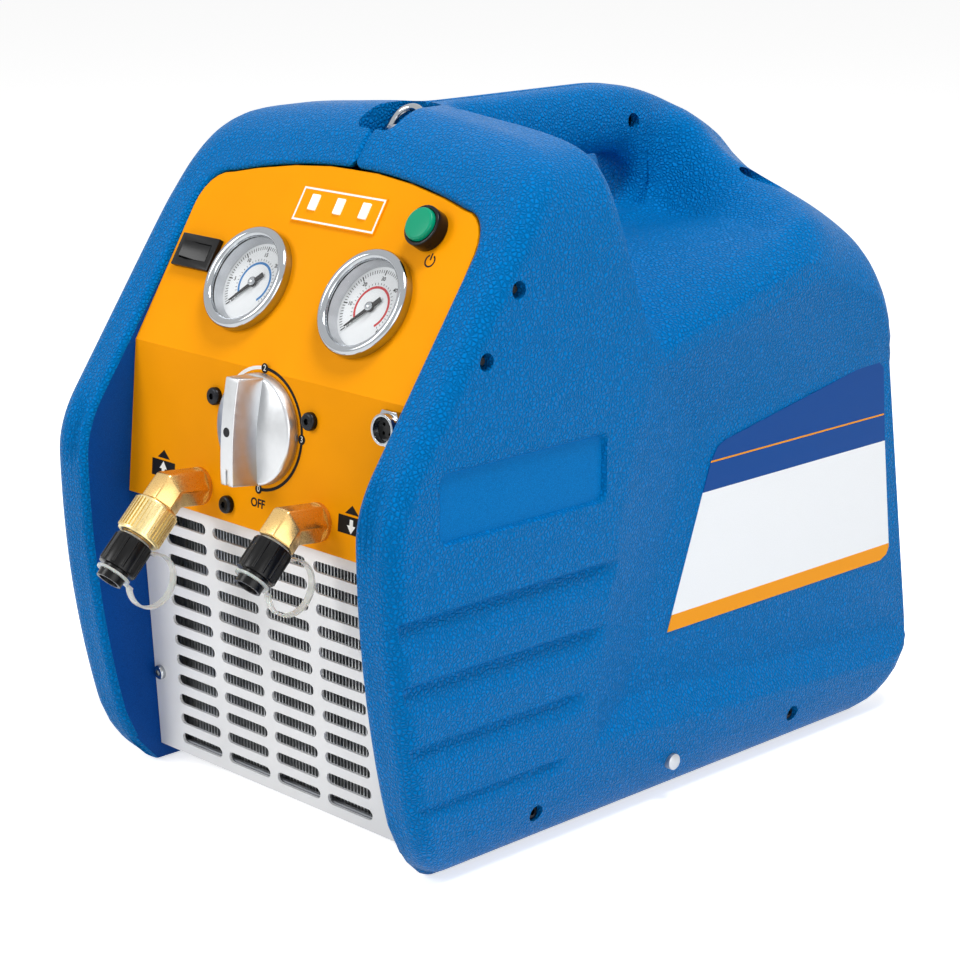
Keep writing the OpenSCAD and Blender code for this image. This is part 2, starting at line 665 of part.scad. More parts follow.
module gauge_needle() {
    z = -cup_deep + dial_t + 0.8;
    color("#17181a") {
        translate([0, 0, -cup_deep - 3]) cylinder(h = z + cup_deep + 3, r = arbor_r);
        translate([0, 0, z]) cylinder(h = 1, r = 2.6);
        translate([0, 0, z]) rotate(needle_rest) linear_extrude(0.7)
            polygon([[-7, -1.3], [-7, 1.3], [0, 1], [needle_len, 0.25], [needle_len, -0.25], [0, -1]]);
    }
}
module gauge_lens() { color("#e8f2f6", 0.4) translate([0, 0, case_rim]) cylinder(h = lens_t, r = case_r - 0.2); }
module on_gauge(k) { on_upper([gauge_x[k], gauge_v]) children(); }
module gauge_case_low() { on_gauge(0) gauge_case(); }
module gauge_bezel_low() { on_gauge(0) gauge_bezel(); }
module gauge_dial_low() { on_gauge(0) gauge_dial(); }
module gauge_needle_low() { on_gauge(0) gauge_needle(); }
module gauge_lens_low() { on_gauge(0) gauge_lens(); }
module gauge_case_high() { on_gauge(1) gauge_case(); }
module gauge_bezel_high() { on_gauge(1) gauge_bezel(); }
module gauge_dial_high() { on_gauge(1) gauge_dial(); }
module gauge_needle_high() { on_gauge(1) gauge_needle(); }
module gauge_lens_high() { on_gauge(1) gauge_lens(); }

// Valve block and knob

module valve_block() {
    color("#a8abae") on_lower([0, 0]) difference() {
        translate([-block_w / 2, block_v[0], -panel_t - block_t])
            cube([block_w, block_v[1] - block_v[0], block_t]);
        translate([0, knob_v, -panel_t - stem_in - 1]) cylinder(h = stem_in + 2, r = stem_r + play);
        for (p = panel_screw_at) translate([p[0], p[1], -panel_t - 10]) cylinder(h = 12, r = screw_bore);
    }
}
// Round knob with two scooped sides that leave a grip bar; its pointer groove is at the lower end
module selector_knob() {
    color("#cfd1d3") on_lower([0, knob_v]) {
        difference() {
            translate([0, 0, knob_seat]) cylinder(h = knob_h, r = knob_d / 2);
            for (s = [-1, 1]) {
                translate([s * (knob_bar / 2 + scoop_r), 0, knob_seat + knob_base + scoop_r])
                    rotate([90, 0, 0]) cylinder(h = knob_d + 2, r = scoop_r, center = true);
                translate([s > 0 ? knob_bar / 2 + scoop_r : -knob_d - knob_bar / 2 - scoop_r, -knob_d / 2 - 1,
                           knob_seat + knob_base]) cube([knob_d, knob_d + 2, knob_h]);
            }
            translate([-0.8, -knob_d / 2 - 1, knob_seat + knob_h - 1.5]) cube([1.6, 11, 5]);
        }
        translate([0, 0, -panel_t - stem_in]) cylinder(h = stem_in + panel_t + knob_seat + 2, r = stem_r);
    }
}

// Switch gear

collar_h = 8;                        // collar round the button
module power_bezel() {
    color("#18191b") on_upper(button_at) difference() {
        union() {
            translate([0, 0, -22]) cylinder(h = 22, r = barrel_r);
            cylinder(h = collar_h, r = barrel_r + 1.2);
        }
        translate([0, 0, -button_travel - 4]) cylinder(h = collar_h + 20, r = button_r);
    }
}
module power_button() {
    color("#138a4b") on_upper(button_at) {
        r = button_r - 2 * play;
        translate([0, 0, -3.5]) cylinder(h = collar_h + 5.2, r = r);
        translate([0, 0, collar_h + 1.7]) cylinder(h = 0.8, r1 = r, r2 = r - 0.8);
    }
}
module breaker_body() {
    w = breaker_size[0];
    h = breaker_size[1];
    color("#18191b") on_upper(breaker_at) difference() {
        union() {
            translate([-w / 2, -h / 2, 0]) cube([w, h, 3]);
            translate([-w / 2 + 2.4, -h / 2 + 2.4, -24]) cube([w - 4.8, h - 4.8, 24]);
        }
        translate([-rocker_size[0] / 2 - seat, -rocker_size[1] / 2 - seat, -8])
            cube([rocker_size[0] + 2 * seat, rocker_size[1] + 2 * seat, 20]);
        translate([0, 0, -1]) rotate([90, 0, 0]) cylinder(h = rocker_size[1] + 3.4, r = 1.5 + play, center = true);
    }
}
// Rocker on a cross pin, leaning to its pressed end
module breaker_rocker() {
    w = rocker_size[0];
    h = rocker_size[1];
    color("#26272a") on_upper(breaker_at) translate([0, 0, -1]) rotate([0, rocker_tilt, 0]) {
        rotate([90, 0, 0]) cylinder(h = h + 3, r = 1.5, center = true);
        rotate([90, 0, 0]) linear_extrude(h, center = true)
            polygon([[-w / 2 + 1.2, 0], [-4, -3], [4, -3], [w / 2 - 1.2, 0], [w / 2 - 1.5, 5.4], [0, 3.6], [1.5 - w / 2, 5.4]]);
    }
}
module indicator_frame() {
    color("#f4f4f2") on_upper(lamp_at) difference() {
        translate([-lamp_frame[0] / 2, -lamp_frame[1] / 2, 0]) cube([lamp_frame[0], lamp_frame[1], 0.8]);
        for (k = [-1 : 1]) translate([k * lamp_pitch, 1.5, 0]) cube([lamp_size[0] + 0.2, lamp_size[1] + 0.2, 5], center = true);
    }
}
module indicator_lamps() {
    color("#fbfbf4") on_upper(lamp_at) for (k = [-1 : 1])
        translate([k * lamp_pitch - lamp_size[0] / 2, 1.5 - lamp_size[1] / 2, 0]) cube([lamp_size[0], lamp_size[1], 1.8]);
}
socket_r = 10;
module sensor_socket() {
    color("#d6d8da") on_lower(socket_at) difference() {
        union() {
            cylinder(h = 3, r = socket_r, $fn = 6);
            translate([0, 0, 2]) cylinder(h = 5, r = socket_r - 2.4);
            translate([0, 0, -14]) cylinder(h = 15, r = socket_r - 2.4);
        }
        translate([0, 0, -2]) cylinder(h = 12, r = socket_r - 3.8);
    }
}
module sensor_insert() {
    color("#18191b") on_lower(socket_at) translate([0, 0, -2]) difference() {
        cylinder(h = 5.5, r = socket_r - 4);
        for (a = [45 : 90 : 315]) rotate(a) translate([3, 0, 2]) cylinder(h = 6, r = 0.9);
    }
}

// Fittings: elbow on the panel, outer leg forward and down

module outer_leg() { translate([0, 0, elbow_leg]) rotate([drop_angle, 0, 0]) children(); }
module elbow(neck_len) {
    hex_r = elbow_af / 2 / cos(30);
    end = hex_len + neck_len;
    round_r = elbow_af / 2 - 0.8;
    translate([0, 0, -panel_t]) cylinder(h = panel_t + 1, r = neck_r - 0.4);
    cylinder(h = 2, r = neck_r + 1.6);
    translate([0, 0, 1]) cylinder(h = elbow_leg - 7, r = hex_r, $fn = 6);
    translate([0, 0, 1]) cylinder(h = elbow_leg - 1, r = round_r);
    translate([0, 0, elbow_leg]) sphere(r = elbow_af / 2 + 0.2);
    outer_leg() {
        cylinder(h = hex_len, r = round_r);
        translate([0, 0, 5]) cylinder(h = hex_len - 5, r = hex_r, $fn = 6);
        if (neck_len > 0) translate([0, 0, hex_len - 1]) cylinder(h = neck_len + 1, r = neck_r);
        translate([0, 0, end - 1]) cylinder(h = strap_t + 1.6 + nipple_len, r = nipple_d / 2);
    }
}
module inlet_elbow() { color("#c79a45") on_lower([port_x[0], port_v]) elbow(collar_len + seat); }
module outlet_elbow() { color("#c79a45") on_lower([port_x[1], port_v]) elbow(0); }
module inlet_collar() {
    color("#d9b766") on_lower([port_x[0], port_v]) outer_leg() translate([0, 0, hex_len + seat]) difference() {
        cylinder(h = collar_len - seat, r = collar_r);
        translate([0, 0, -1]) cylinder(h = collar_len + 2, r = neck_r + play);
    }
}
// Screw cap: ribbed skirt, groove for the strap's eye and a smaller end
module cap(start) {
    z = start + strap_t + 0.6;
    skirt = cap_len - cap_neck_len;
    translate([0, 0, z]) difference() {
        union() {
            cylinder(h = skirt, r = cap_d / 2);
            for (a = [0 : 30 : 330]) rotate(a) translate([cap_d / 2 - 0.4, 0, 1]) cylinder(h = skirt - 2, r = 1);
            cylinder(h = cap_len, r = cap_neck_r);
        }
        translate([0, 0, -1]) cylinder(h = nipple_len + 2, r = nipple_d / 2 + play);
        translate([0, 0, cap_len - 3]) cylinder(h = 4, r = cap_neck_r - 1.6);
    }
}
module inlet_cap() { color("#151516") on_lower([port_x[0], port_v]) outer_leg() cap(hex_len + collar_len + seat); }
module outlet_cap() { color("#151516") on_lower([port_x[1], port_v]) outer_leg() cap(hex_len); }
// Strap: an eye round the nipple, a hanging loop and an eye round the small end of the cap
module tether(start) {
    eye_a = start + 0.3;
    eye_b = start + strap_t + 0.6 + cap_len - cap_neck_len + 2;
    span = (eye_b - eye_a) / 2;
    drop = cap_d / 2 + 3.2;
    lift = sqrt(strap_r * strap_r - span * span);
    open = asin(span / strap_r);
    translate([0, 0, eye_a]) strap_eye(nipple_d / 2 + 0.1, drop);
    translate([0, 0, eye_b]) strap_eye(cap_neck_r + seat, drop);
    translate([0, -drop - lift, (eye_a + eye_b) / 2 + strap_t / 2]) rotate([0, 90, 0]) rotate([0, 0, 90 + open])
        rotate_extrude(angle = 360 - 2 * open) translate([strap_r - strap_t / 2, -strap_w / 2]) square([strap_t, strap_w]);
}
module strap_eye(r, drop) {
    difference() {
        union() {
            cylinder(h = strap_t, r = r + 2);
            translate([-strap_w / 2, -drop - strap_t, 0]) cube([strap_w, drop, strap_t]);
        }
        translate([0, 0, -1]) cylinder(h = strap_t + 2, r = r);
    }
}
module inlet_tether() { color("#eceae2") on_lower([port_x[0], port_v]) outer_leg() tether(hex_len + collar_len + seat); }
module outlet_tether() { color("#eceae2") on_lower([port_x[1], port_v]) outer_leg() tether(hex_len); }

// Carry ring

module ring_bracket() {
    color("#8d9093") difference() {
        translate([-3.5, ring_y - 5, ring_floor]) cube([7, 10, 2 * (ring_axis_z - ring_floor)]);
        rod_x(-10, 10, ring_wire + play, ring_y, ring_axis_z);
    }
}
module carry_ring() {
    color("#d6d8da") translate([0, ring_y, ring_axis_z]) rotate([-ring_rest, 0, 0]) {
        rod_x(-ring_r, ring_r, ring_wire, 0, 0);
        for (s = [-1, 1]) {
            translate([s * ring_r, 0, 0]) cylinder(h = ring_leg, r = ring_wire);
            translate([s * ring_r, 0, 0]) sphere(r = ring_wire);
        }
        translate([0, 0, ring_leg]) rotate([90, 0, 0]) rotate_extrude(angle = 180) translate([ring_r, 0]) circle(r = ring_wire);
    }
}

// Condenser: fins on seven tube rows between two end plates

function coil_row_z(i) = coil_z + i * tube_pitch;
module coil_plate(t, clear) {
    rotate([90, 0, 90]) linear_extrude(t, center = true) difference() {
        translate([coil_y - coil_depth / 2, pan_top]) square([coil_depth, coil_top - pan_top]);
        for (i = [0 : coil_rows - 1]) translate([coil_y, coil_row_z(i)]) circle(r = tube_r + clear);
    }
}
module condenser_fins() {
    color("#8f9396") for (k = [0 : fin_count - 1])
        translate([(k - (fin_count - 1) / 2) * fin_pitch, 0, 0]) coil_plate(fin_t, 0.1);
}
module condenser_ends() {
    color("#b9bcbf") for (s = [-1, 1]) translate([s * (coil_half - end_t), 0, 0]) coil_plate(end_t, 0.1);
}
tail_len = 5;
module condenser_tubes() {
    color("#b8763f") {
        for (i = [0 : coil_rows - 1]) rod_x(-coil_half, coil_half, tube_r, coil_y, coil_row_z(i));
        for (i = [0 : coil_rows - 2]) let (s = i % 2 == 0 ? 1 : -1)
            translate([s * coil_half, coil_y, (coil_row_z(i) + coil_row_z(i + 1)) / 2])
                rotate([90, s > 0 ? 90 : -90, 0]) rotate_extrude(angle = 180) translate([bend_r, 0]) circle(r = tube_r);
        run_pipe([[coil_half, coil_y, coil_row_z(coil_rows - 1)], [coil_half + tail_len, coil_y, coil_row_z(coil_rows - 1)],
                  [coil_half + tail_len, coil_y, coil_top + 2]], tube_r);
        run_pipe([[-coil_half, coil_y, coil_row_z(0)], [-coil_half - tail_len, coil_y, coil_row_z(0)],
                  [-coil_half - tail_len, coil_y + coil_depth / 2 + 3, coil_row_z(0)]], tube_r);
    }
}

// Fan

module fan_shroud() {
    w = coil_half - end_t - 2;
    color("#2b2b2d") difference() {
        union() {
            translate([-w, fan_y, pan_top]) cube([2 * w, shroud_t, coil_top - pan_top]);
            rod_y(fan_y, fan_y + duct_len, duct_r + 2, 0, fan_z);
        }
        rod_y(fan_y - 1, fan_y + duct_len + 1, duct_r, 0, fan_z);
    }
}
fan_front = fan_y + 3;
module fan_rotor() {
    color("#38393c") {
        rod_y(fan_front, fan_front + fan_len, hub_r, 0, fan_z);
        rod_y(fan_front + 2, fan_front + fan_len + 16, shaft_r, 0, fan_z);
        intersection() {
            difference() {
                rod_y(fan_front, fan_front + fan_len, fan_r, 0, fan_z);
                rod_y(fan_front - 1, fan_front + fan_len + 1, hub_r - 2, 0, fan_z);
            }
            translate([0, fan_front + fan_len / 2, fan_z]) for (k = [0 : blade_count - 1])
                rotate([0, k * 360 / blade_count, 0]) rotate([0, 0, 0]) translate([0, 0, fan_r / 2])
                    rotate([0, 0, 28]) cube([fan_r * 0.56, 1.6, fan_r * 1.1], center = true);
        }
    }
}
fan_motor_y = fan_front + fan_len + 3;
module fan_motor() {
    color("#3f4145") difference() {
        union() {
            rod_y(fan_motor_y, fan_motor_y + fan_motor_len, fan_motor_r, 0, fan_z);
            for (a = [90, 210, 330]) translate([0, 0, fan_z]) rotate([0, a, 0]) {
                translate([fan_motor_r - 2, fan_motor_y + 4, -4]) cube([arm_r - fan_motor_r + 2, 3, 8]);
                translate([arm_r - 3, fan_y + shroud_t, -4]) cube([3, fan_motor_y + 7 - fan_y - shroud_t, 8]);
            }
        }
        rod_y(fan_motor_y - 1, fan_motor_y + 14, shaft_r + play, 0, fan_z);
    }
}

// Compressor: motor and crankcase in line, two opposed cylinders, on a cradle with rubber mounts

cradle_half = 66;
cradle_y = [motor_y + 8, motor_y + motor_len + crank_len - 4];
saddle_y = [motor_y + 18, motor_y + motor_len - 18];
module compressor_cradle() {
    color("#6d7073") {
        difference() {
            translate([-cradle_half, cradle_y[0], cradle_z]) cube([2 * cradle_half, cradle_y[1] - cradle_y[0], cradle_t]);
            for (p = grommet_at) translate([p[0], p[1], cradle_z - 1]) cylinder(h = 9, r = 4.2);
        }
        for (y = saddle_y) difference() {
            translate([-motor_r * 0.75, y - 6, cradle_z + cradle_t]) cube([motor_r * 1.5, 12, 30]);
            rod_y(y - 10, y + 10, motor_r + 0.1, 0, motor_z);
        }
    }
}
grommet_at = [for (x = [-1, 1]) for (y = [cradle_y[0] + 14, cradle_y[1] - 14]) [x * (cradle_half - 8), y]];
module cradle_grommets() {
    color("#1c1c1e") for (p = grommet_at) translate([p[0], p[1], pan_top]) {
        cylinder(h = cradle_z - pan_top, r = 9);
        cylinder(h = cradle_z - pan_top + cradle_t + 1, r = 4);
        translate([0, 0, cradle_z - pan_top + cradle_t]) cylinder(h = 2.5, r = 6.5);
    }
}
module compressor_motor() {
    color("#33363a") {
        rod_y(motor_y, motor_y + motor_len, motor_r, 0, motor_z);
        rod_y(motor_y - 8, motor_y, motor_r - 14, 0, motor_z);
    }
}
module crankcase() {
    y = motor_y + motor_len;
    color("#9a9da0") difference() {
        union() {
            rod_y(y, y + crank_len, crank_r, 0, motor_z);
            rod_y(y + crank_len, y + crank_len + 6, crank_r - 10, 0, motor_z);
        }
        for (s = [-1, 1]) rod_x(s > 0 ? head_x - barrel_len : -crank_r - 2, s > 0 ? crank_r + 2 : barrel_len - head_x,
                                barrel_bore_r + 0.1, head_y, motor_z);
    }
}
barrel_bore_r = 20;
rib_count = 4;
module cylinder_barrels() {
    color("#a9acaf") for (s = [0, 1]) mirror([s, 0, 0]) {
        rod_x(head_x - barrel_len, head_x, barrel_bore_r, head_y, motor_z);
        for (k = [0 : rib_count - 1]) let (x = crank_r + 4 + k * (head_x - crank_r - 6) / (rib_count - 1))
            rod_x(x, x + 1.6, barrel_bore_r + 4, head_y, motor_z);
    }
}
module cylinder_heads() {
    color("#8f9295") for (s = [0, 1]) mirror([s, 0, 0]) translate([head_x + 0.02, head_y - head_size / 2, motor_z - head_size / 2])
        cube([head_t, head_size, head_size]);
}

// Pipes and the capacitor

pipe_z = panel_foot_z + 16;
head_top = motor_z + head_size / 2;
head_port = head_x + head_t / 2;
function block_back(x, v) = let (d = -panel_t - block_t)
    [x, bend_y + v * sin(lower_lean) - d * cos(lower_lean), bend_z + v * cos(lower_lean) + d * sin(lower_lean)];
module suction_pipe() {
    start = block_back(port_x[0], -58);
    out = start + 18 * [0, cos(lower_lean), -sin(lower_lean)];
    color("#b8763f") run_pipe([start, out, [-head_port, head_y, out[2]], [-head_port, head_y, head_top]], pipe_r);
}
module discharge_pipe() {
    x = coil_half + tail_len;
    color("#b8763f") run_pipe([[x, coil_y, coil_top + 2], [x, coil_y, pipe_z], [head_port, head_y, pipe_z],
                               [head_port, head_y, head_top]], pipe_r);
}
liquid_v = -43;
module liquid_pipe() {
    x = -coil_half - tail_len;
    y = coil_y + coil_depth / 2 + 3;
    mid = block_back(0, liquid_v) + (block_t / 2) * [0, -cos(lower_lean), sin(lower_lean)];
    color("#b8763f") run_pipe([[x, y, coil_row_z(0)], [x, y + 12, coil_row_z(0)], [x, y + 12, mid[2]],
                               [x, mid[1], mid[2]], [-block_w / 2, mid[1], mid[2]]], pipe_r);
}
capacitor_at = [22 - inner_w, motor_y + 40];
capacitor_r = 16;
capacitor_h = 76;
module start_capacitor() {
    color("#c9cccf") translate([capacitor_at[0], capacitor_at[1], pan_top]) {
        cylinder(h = capacitor_h, r = capacitor_r);
        translate([0, 0, capacitor_h]) cylinder(h = 3, r = capacitor_r - 3);
        for (x = [-5, 5]) translate([x - 0.5, -3, capacitor_h + 3]) cube([1, 6, 8]);
    }
}

// Fasteners

module panel_screws() {
    color("#17181a") for (p = panel_screw_at) on_lower(p) {
        cylinder(h = 3.4, r = 4.6);
        translate([0, 0, -panel_t - 9]) cylinder(h = panel_t + 10, r = screw_r);
    }
}
module grille_screws() {
    color("#d6d8da") for (p = grille_screw_at) on_grille(p) {
        cylinder(h = 2.4, r = 4);
        translate([0, 0, -8]) cylinder(h = 9, r = screw_r);
    }
}
module case_screw(x, y, z, len) {
    rod_x(x, x + head_t_screw, head_r, y, z);
    rod_x(x - len, x + 1, screw_r, y, z);
}
module rim_screws() {
    color("#17181a") for (s = [0, 1]) mirror([s, 0, 0]) {
        for (p = rim_screw_at) case_screw(rim_screw_x, p[0], p[1], 4.5);
        case_screw(tail_screw_x, tail_screw_at[0], tail_screw_at[1], tail_screw_x - 0.5);
    }
}
module handle_screws() {
    color("#17181a") for (s = [0, 1]) mirror([s, 0, 0])
        for (p = handle_screw_at) case_screw(handle_screw_x, p[0], p[1], handle_screw_x - 0.5);
}
module base_screws() {
    color("#a9acaf") for (s = [0, 1]) mirror([s, 0, 0])
        for (y = base_screw_y) case_screw(base_screw_x, y, base_screw_z, base_screw_x - inner_w + 6);
}

left_shell();
right_shell();
base_pan();
rubber_feet();
control_panel();
front_grille();
rear_panel();
gauge_case_low();
gauge_bezel_low();
gauge_dial_low();
gauge_needle_low();
gauge_lens_low();
gauge_case_high();
gauge_bezel_high();
gauge_dial_high();
gauge_needle_high();
gauge_lens_high();
valve_block();
selector_knob();
power_bezel();
power_button();
breaker_body();
breaker_rocker();
indicator_frame();
indicator_lamps();
sensor_socket();
sensor_insert();
inlet_elbow();
inlet_collar();
inlet_cap();
inlet_tether();
outlet_elbow();
outlet_cap();
outlet_tether();
ring_bracket();
carry_ring();
condenser_fins();
condenser_ends();
condenser_tubes();
fan_shroud();
fan_rotor();
fan_motor();
compressor_cradle();
cradle_grommets();
compressor_motor();
crankcase();
cylinder_barrels();
cylinder_heads();
suction_pipe();
discharge_pipe();
liquid_pipe();
start_capacitor();
power_inlet();
inlet_pins();
panel_screws();
grille_screws();
rim_screws();
handle_screws();
base_screws();
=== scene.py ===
"""Looks of a portable refrigerant recovery machine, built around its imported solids.

Lengths in this file are millimetres in the part's own frame: +X right seen from the front, -Y front,
+Z up. A finished mesh is scaled to metres once, in the function that makes it a piece.
"""

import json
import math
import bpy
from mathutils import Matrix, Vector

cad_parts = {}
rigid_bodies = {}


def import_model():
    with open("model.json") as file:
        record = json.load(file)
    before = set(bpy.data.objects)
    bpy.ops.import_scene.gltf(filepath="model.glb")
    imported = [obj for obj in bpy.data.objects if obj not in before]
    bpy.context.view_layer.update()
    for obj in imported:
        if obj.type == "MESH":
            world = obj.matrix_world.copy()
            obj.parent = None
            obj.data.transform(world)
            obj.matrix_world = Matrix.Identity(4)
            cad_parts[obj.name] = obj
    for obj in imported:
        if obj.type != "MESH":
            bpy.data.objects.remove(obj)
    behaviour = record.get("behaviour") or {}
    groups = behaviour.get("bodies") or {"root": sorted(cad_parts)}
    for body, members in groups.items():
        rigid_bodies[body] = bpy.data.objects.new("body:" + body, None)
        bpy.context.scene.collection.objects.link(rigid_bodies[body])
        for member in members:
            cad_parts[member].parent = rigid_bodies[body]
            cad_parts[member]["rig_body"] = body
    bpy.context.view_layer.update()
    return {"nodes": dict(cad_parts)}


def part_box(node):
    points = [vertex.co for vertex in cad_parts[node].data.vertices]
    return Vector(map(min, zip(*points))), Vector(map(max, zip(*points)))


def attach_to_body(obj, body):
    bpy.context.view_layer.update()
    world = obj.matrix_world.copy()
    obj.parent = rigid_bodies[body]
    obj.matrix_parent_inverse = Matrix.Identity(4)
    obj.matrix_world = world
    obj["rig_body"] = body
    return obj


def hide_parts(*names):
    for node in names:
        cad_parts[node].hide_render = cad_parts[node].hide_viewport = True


bl_info = {
    "name": "Refrigerant Recovery Machine",
    "version": (1, 0, 0),
    "blender": (4, 5, 0),
    "location": "3D View > Sidebar > Recovery Machine",
    "description": "Dresses the solids of a portable refrigerant recovery machine",
    "category": "Object",
}

import bmesh
import bpy
import numpy as np
from mathutils import Matrix, Vector

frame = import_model()
MM = 0.001


def node_span(node):
    """Lowest and highest corner of a solid, in millimetres."""
    low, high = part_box(node)
    return low / MM, high / MM


def linear(hex_colour):
    """An sRGB hex colour as the linear RGBA that shader sockets take."""
    shares = [int(hex_colour[i : i + 2], 16) / 255 for i in (1, 3, 5)]
    return tuple(c / 12.92 if c <= 0.04045 else ((c + 0.055) / 1.055) ** 2.4 for c in shares) + (1.0,)


# Sizes and colours that a user would change


def colour(label, about, hex_colour):
    """A colour property."""
    return bpy.props.FloatVectorProperty(
        name=label, description=about, subtype="COLOR", size=4, min=0, max=1, default=linear(hex_colour)
    )


def length(label, about, millimetres):
    """A length property in metres."""
    return bpy.props.FloatProperty(
        name=label, description=about, default=millimetres * MM, min=0, subtype="DISTANCE", unit="LENGTH"
    )


class MachineColours(bpy.types.PropertyGroup):
    """Colours of the machine's finishes."""

    shell: colour("Shell", "Blow-moulded polyethylene case", "#0170B8")
    sheen: colour("Shell sheen", "Tint of the light that the case reflects", "#3C9BEA")
    panel: colour("Panel", "Powder coat of the control panel", "#F29A02")
    grille: colour("Grille", "Painted sheet of the grille", "#E6E7E8")
    button: colour("Button", "Lens of the power button", "#00906A")
    low_arc: colour("Low arc", "Arc on the low-pressure dial", "#2377B8")
    high_arc: colour("High arc", "Arc on the high-pressure dial", "#C3232B")
    label_field: colour("Label field", "Paper white of the side label", "#EEF1F4")
    label_head: colour("Label head", "Blue head band of the side label", "#02458F")
    label_foot: colour("Label foot", "Orange foot band of the side label", "#EF9A12")


class MachineSizes(bpy.types.PropertyGroup):
    """Sizes of the surface details."""

    grain: length("Grain", "Width of one pebble of the shell's moulded grain", 2.1)
    seam: length("Seam", "Depth of the groove where the two shells meet", 1.9)
    fin_pitch: length("Fin pitch", "Spacing of the condenser fins", 2.5)
    edge: length("Edge", "Rounding of metal and plastic edges", 0.6)


# Nodes and materials


def add(tree, kind, inputs=None, **settings):
    """Adds a node with its settings; an input is a value or the socket it is linked from."""
    node = tree.nodes.new(kind)
    for key, value in settings.items():
        setattr(node, key, value)
    for key, value in (inputs or {}).items():
        if isinstance(value, bpy.types.NodeSocket):
            tree.links.new(value, node.inputs[key])
        else:
            node.inputs[key].default_value = value
    return node


def finish(name, base, metallic=0.0, roughness=0.5, **sockets):
    """A material with one principled surface. Returns the material, its tree and the surface."""
    material = bpy.data.materials.new(name)
    material.use_nodes = True
    tree = material.node_tree
    tree.nodes.clear()
    inputs = {"Base Color": base, "Metallic": metallic, "Roughness": roughness, **sockets}
    surface = add(tree, "ShaderNodeBsdfPrincipled", inputs)
    add(tree, "ShaderNodeOutputMaterial", {"Surface": surface.outputs[0]})
    return material, tree, surface


def pattern(tree, kind, size, stretch=(1, 1, 1), **inputs):
    """A texture on Object coordinates whose features are about size millimetres wide."""
    place = add(tree, "ShaderNodeTexCoord")
    scale = add(tree, "ShaderNodeMapping", {"Vector": place.outputs["Object"], "Scale": stretch})
    return add(tree, kind, {"Vector": scale.outputs[0], "Scale": 1 / (size * MM), **inputs})


def ramp(tree, factor, low, high, to_low, to_high):
    """Maps a number from low..high to to_low..to_high."""
    inputs = {0: factor, 1: low, 2: high, 3: to_low, 4: to_high}
    return add(tree, "ShaderNodeMapRange", inputs).outputs[0]


def two_tone(tree, surface, factor, dark, light):
    """Mixes two colours into the surface by a pattern."""
    mixed = add(tree, "ShaderNodeMix", {"Factor": factor, 6: dark, 7: light}, data_type="RGBA")
    tree.links.new(mixed.outputs[2], surface.inputs["Base Color"])


def bump(tree, surface, height, depth, strength=1.0):
    """Bumps the surface by a pattern, depth in millimetres."""
    inputs = {"Height": height, "Distance": depth * MM, "Strength": strength}
    tree.links.new(add(tree, "ShaderNodeBump", inputs).outputs[0], surface.inputs["Normal"])


def shade(base, share):
    """A colour made darker or lighter by a share."""
    return tuple(min(1, c * share) for c in base[:3]) + (1.0,)


def moulded_polyethylene(name, base, sheen, grain, depth, gloss=0.1):
    """Blow-moulded polyethylene: a satin skin with a pebble grain; the crowns are painted lighter as a
    painted highlight and the borders between them darker as painted shade.
    """
    soft = {"Specular IOR Level": gloss, "Specular Tint": sheen}
    material, tree, surface = finish(name, base, roughness=0.36, **soft)
    pebbles = pattern(tree, "ShaderNodeTexVoronoi", grain, Randomness=1.0)
    pebbles.feature = "DISTANCE_TO_EDGE"
    crown = ramp(tree, pebbles.outputs["Distance"], 0.0, 0.28, 0, 1)
    bump(tree, surface, crown, depth, 0.9)
    # Painted highlight on the pebble crowns, painted shade in the borders between them
    two_tone(tree, surface, crown, shade(base, 0.78), shade(base, 1.14))
    cloud = pattern(tree, "ShaderNodeTexNoise", 60, Detail=2.0)
    tree.links.new(ramp(tree, cloud.outputs["Fac"], 0.3, 0.7, 0.32, 0.4), surface.inputs["Roughness"])
    return material


def powder_coat(name, base, peel=1.4, depth=0.03, roughness=0.4, gloss=0.5):
    """Powder coat on sheet metal: even colour with a faint orange-peel waviness."""
    soft = {"Specular IOR Level": gloss}
    material, tree, surface = finish(name, base, roughness=roughness, **soft)
    waves = pattern(tree, "ShaderNodeTexNoise", peel, Detail=1.0)
    bump(tree, surface, waves.outputs["Fac"], depth, 0.6)
    cloud = pattern(tree, "ShaderNodeTexNoise", 45, Detail=2.0)
    factor = ramp(tree, cloud.outputs["Fac"], 0.3, 0.7, 0, 1)
    two_tone(tree, surface, factor, shade(base, 0.96), shade(base, 1.03))
    return material


def worked_metal(name, hex_colour, roughness, mark, stretch, depth, spread=0.08):
    """Bare metal: tool or rolling marks break up its reflections.

    Real marks are too fine to show at this distance, so they are drawn coarser.
    """
    base = linear(hex_colour)
    material, tree, surface = finish(name, base, 1.0, roughness)
    marks = pattern(tree, "ShaderNodeTexNoise", mark, stretch, Detail=3.0)
    uneven = ramp(tree, marks.outputs["Fac"], 0.3, 0.7, max(0.02, roughness - spread), roughness + spread)
    tree.links.new(uneven, surface.inputs["Roughness"])
    two_tone(tree, surface, marks.outputs["Fac"], shade(base, 0.93), shade(base, 1.05))
    bump(tree, surface, marks.outputs["Fac"], depth, 0.5)
    return material


def moulded_plastic(name, hex_colour, roughness, mark=0.9, depth=0.02):
    """Injection-moulded plastic or rubber: the mould's spark-eroded grain gives a broken highlight.

    The grain is drawn coarser than a real one, so that it shows.
    """
    base = linear(hex_colour)
    material, tree, surface = finish(name, base, roughness=roughness, **{"Specular IOR Level": 0.22})
    grain = pattern(tree, "ShaderNodeTexNoise", mark, Detail=2.0)
    bump(tree, surface, grain.outputs["Fac"], depth, 0.5)
    two_tone(tree, surface, grain.outputs["Fac"], shade(base, 0.85), shade(base, 1.2))
    return material


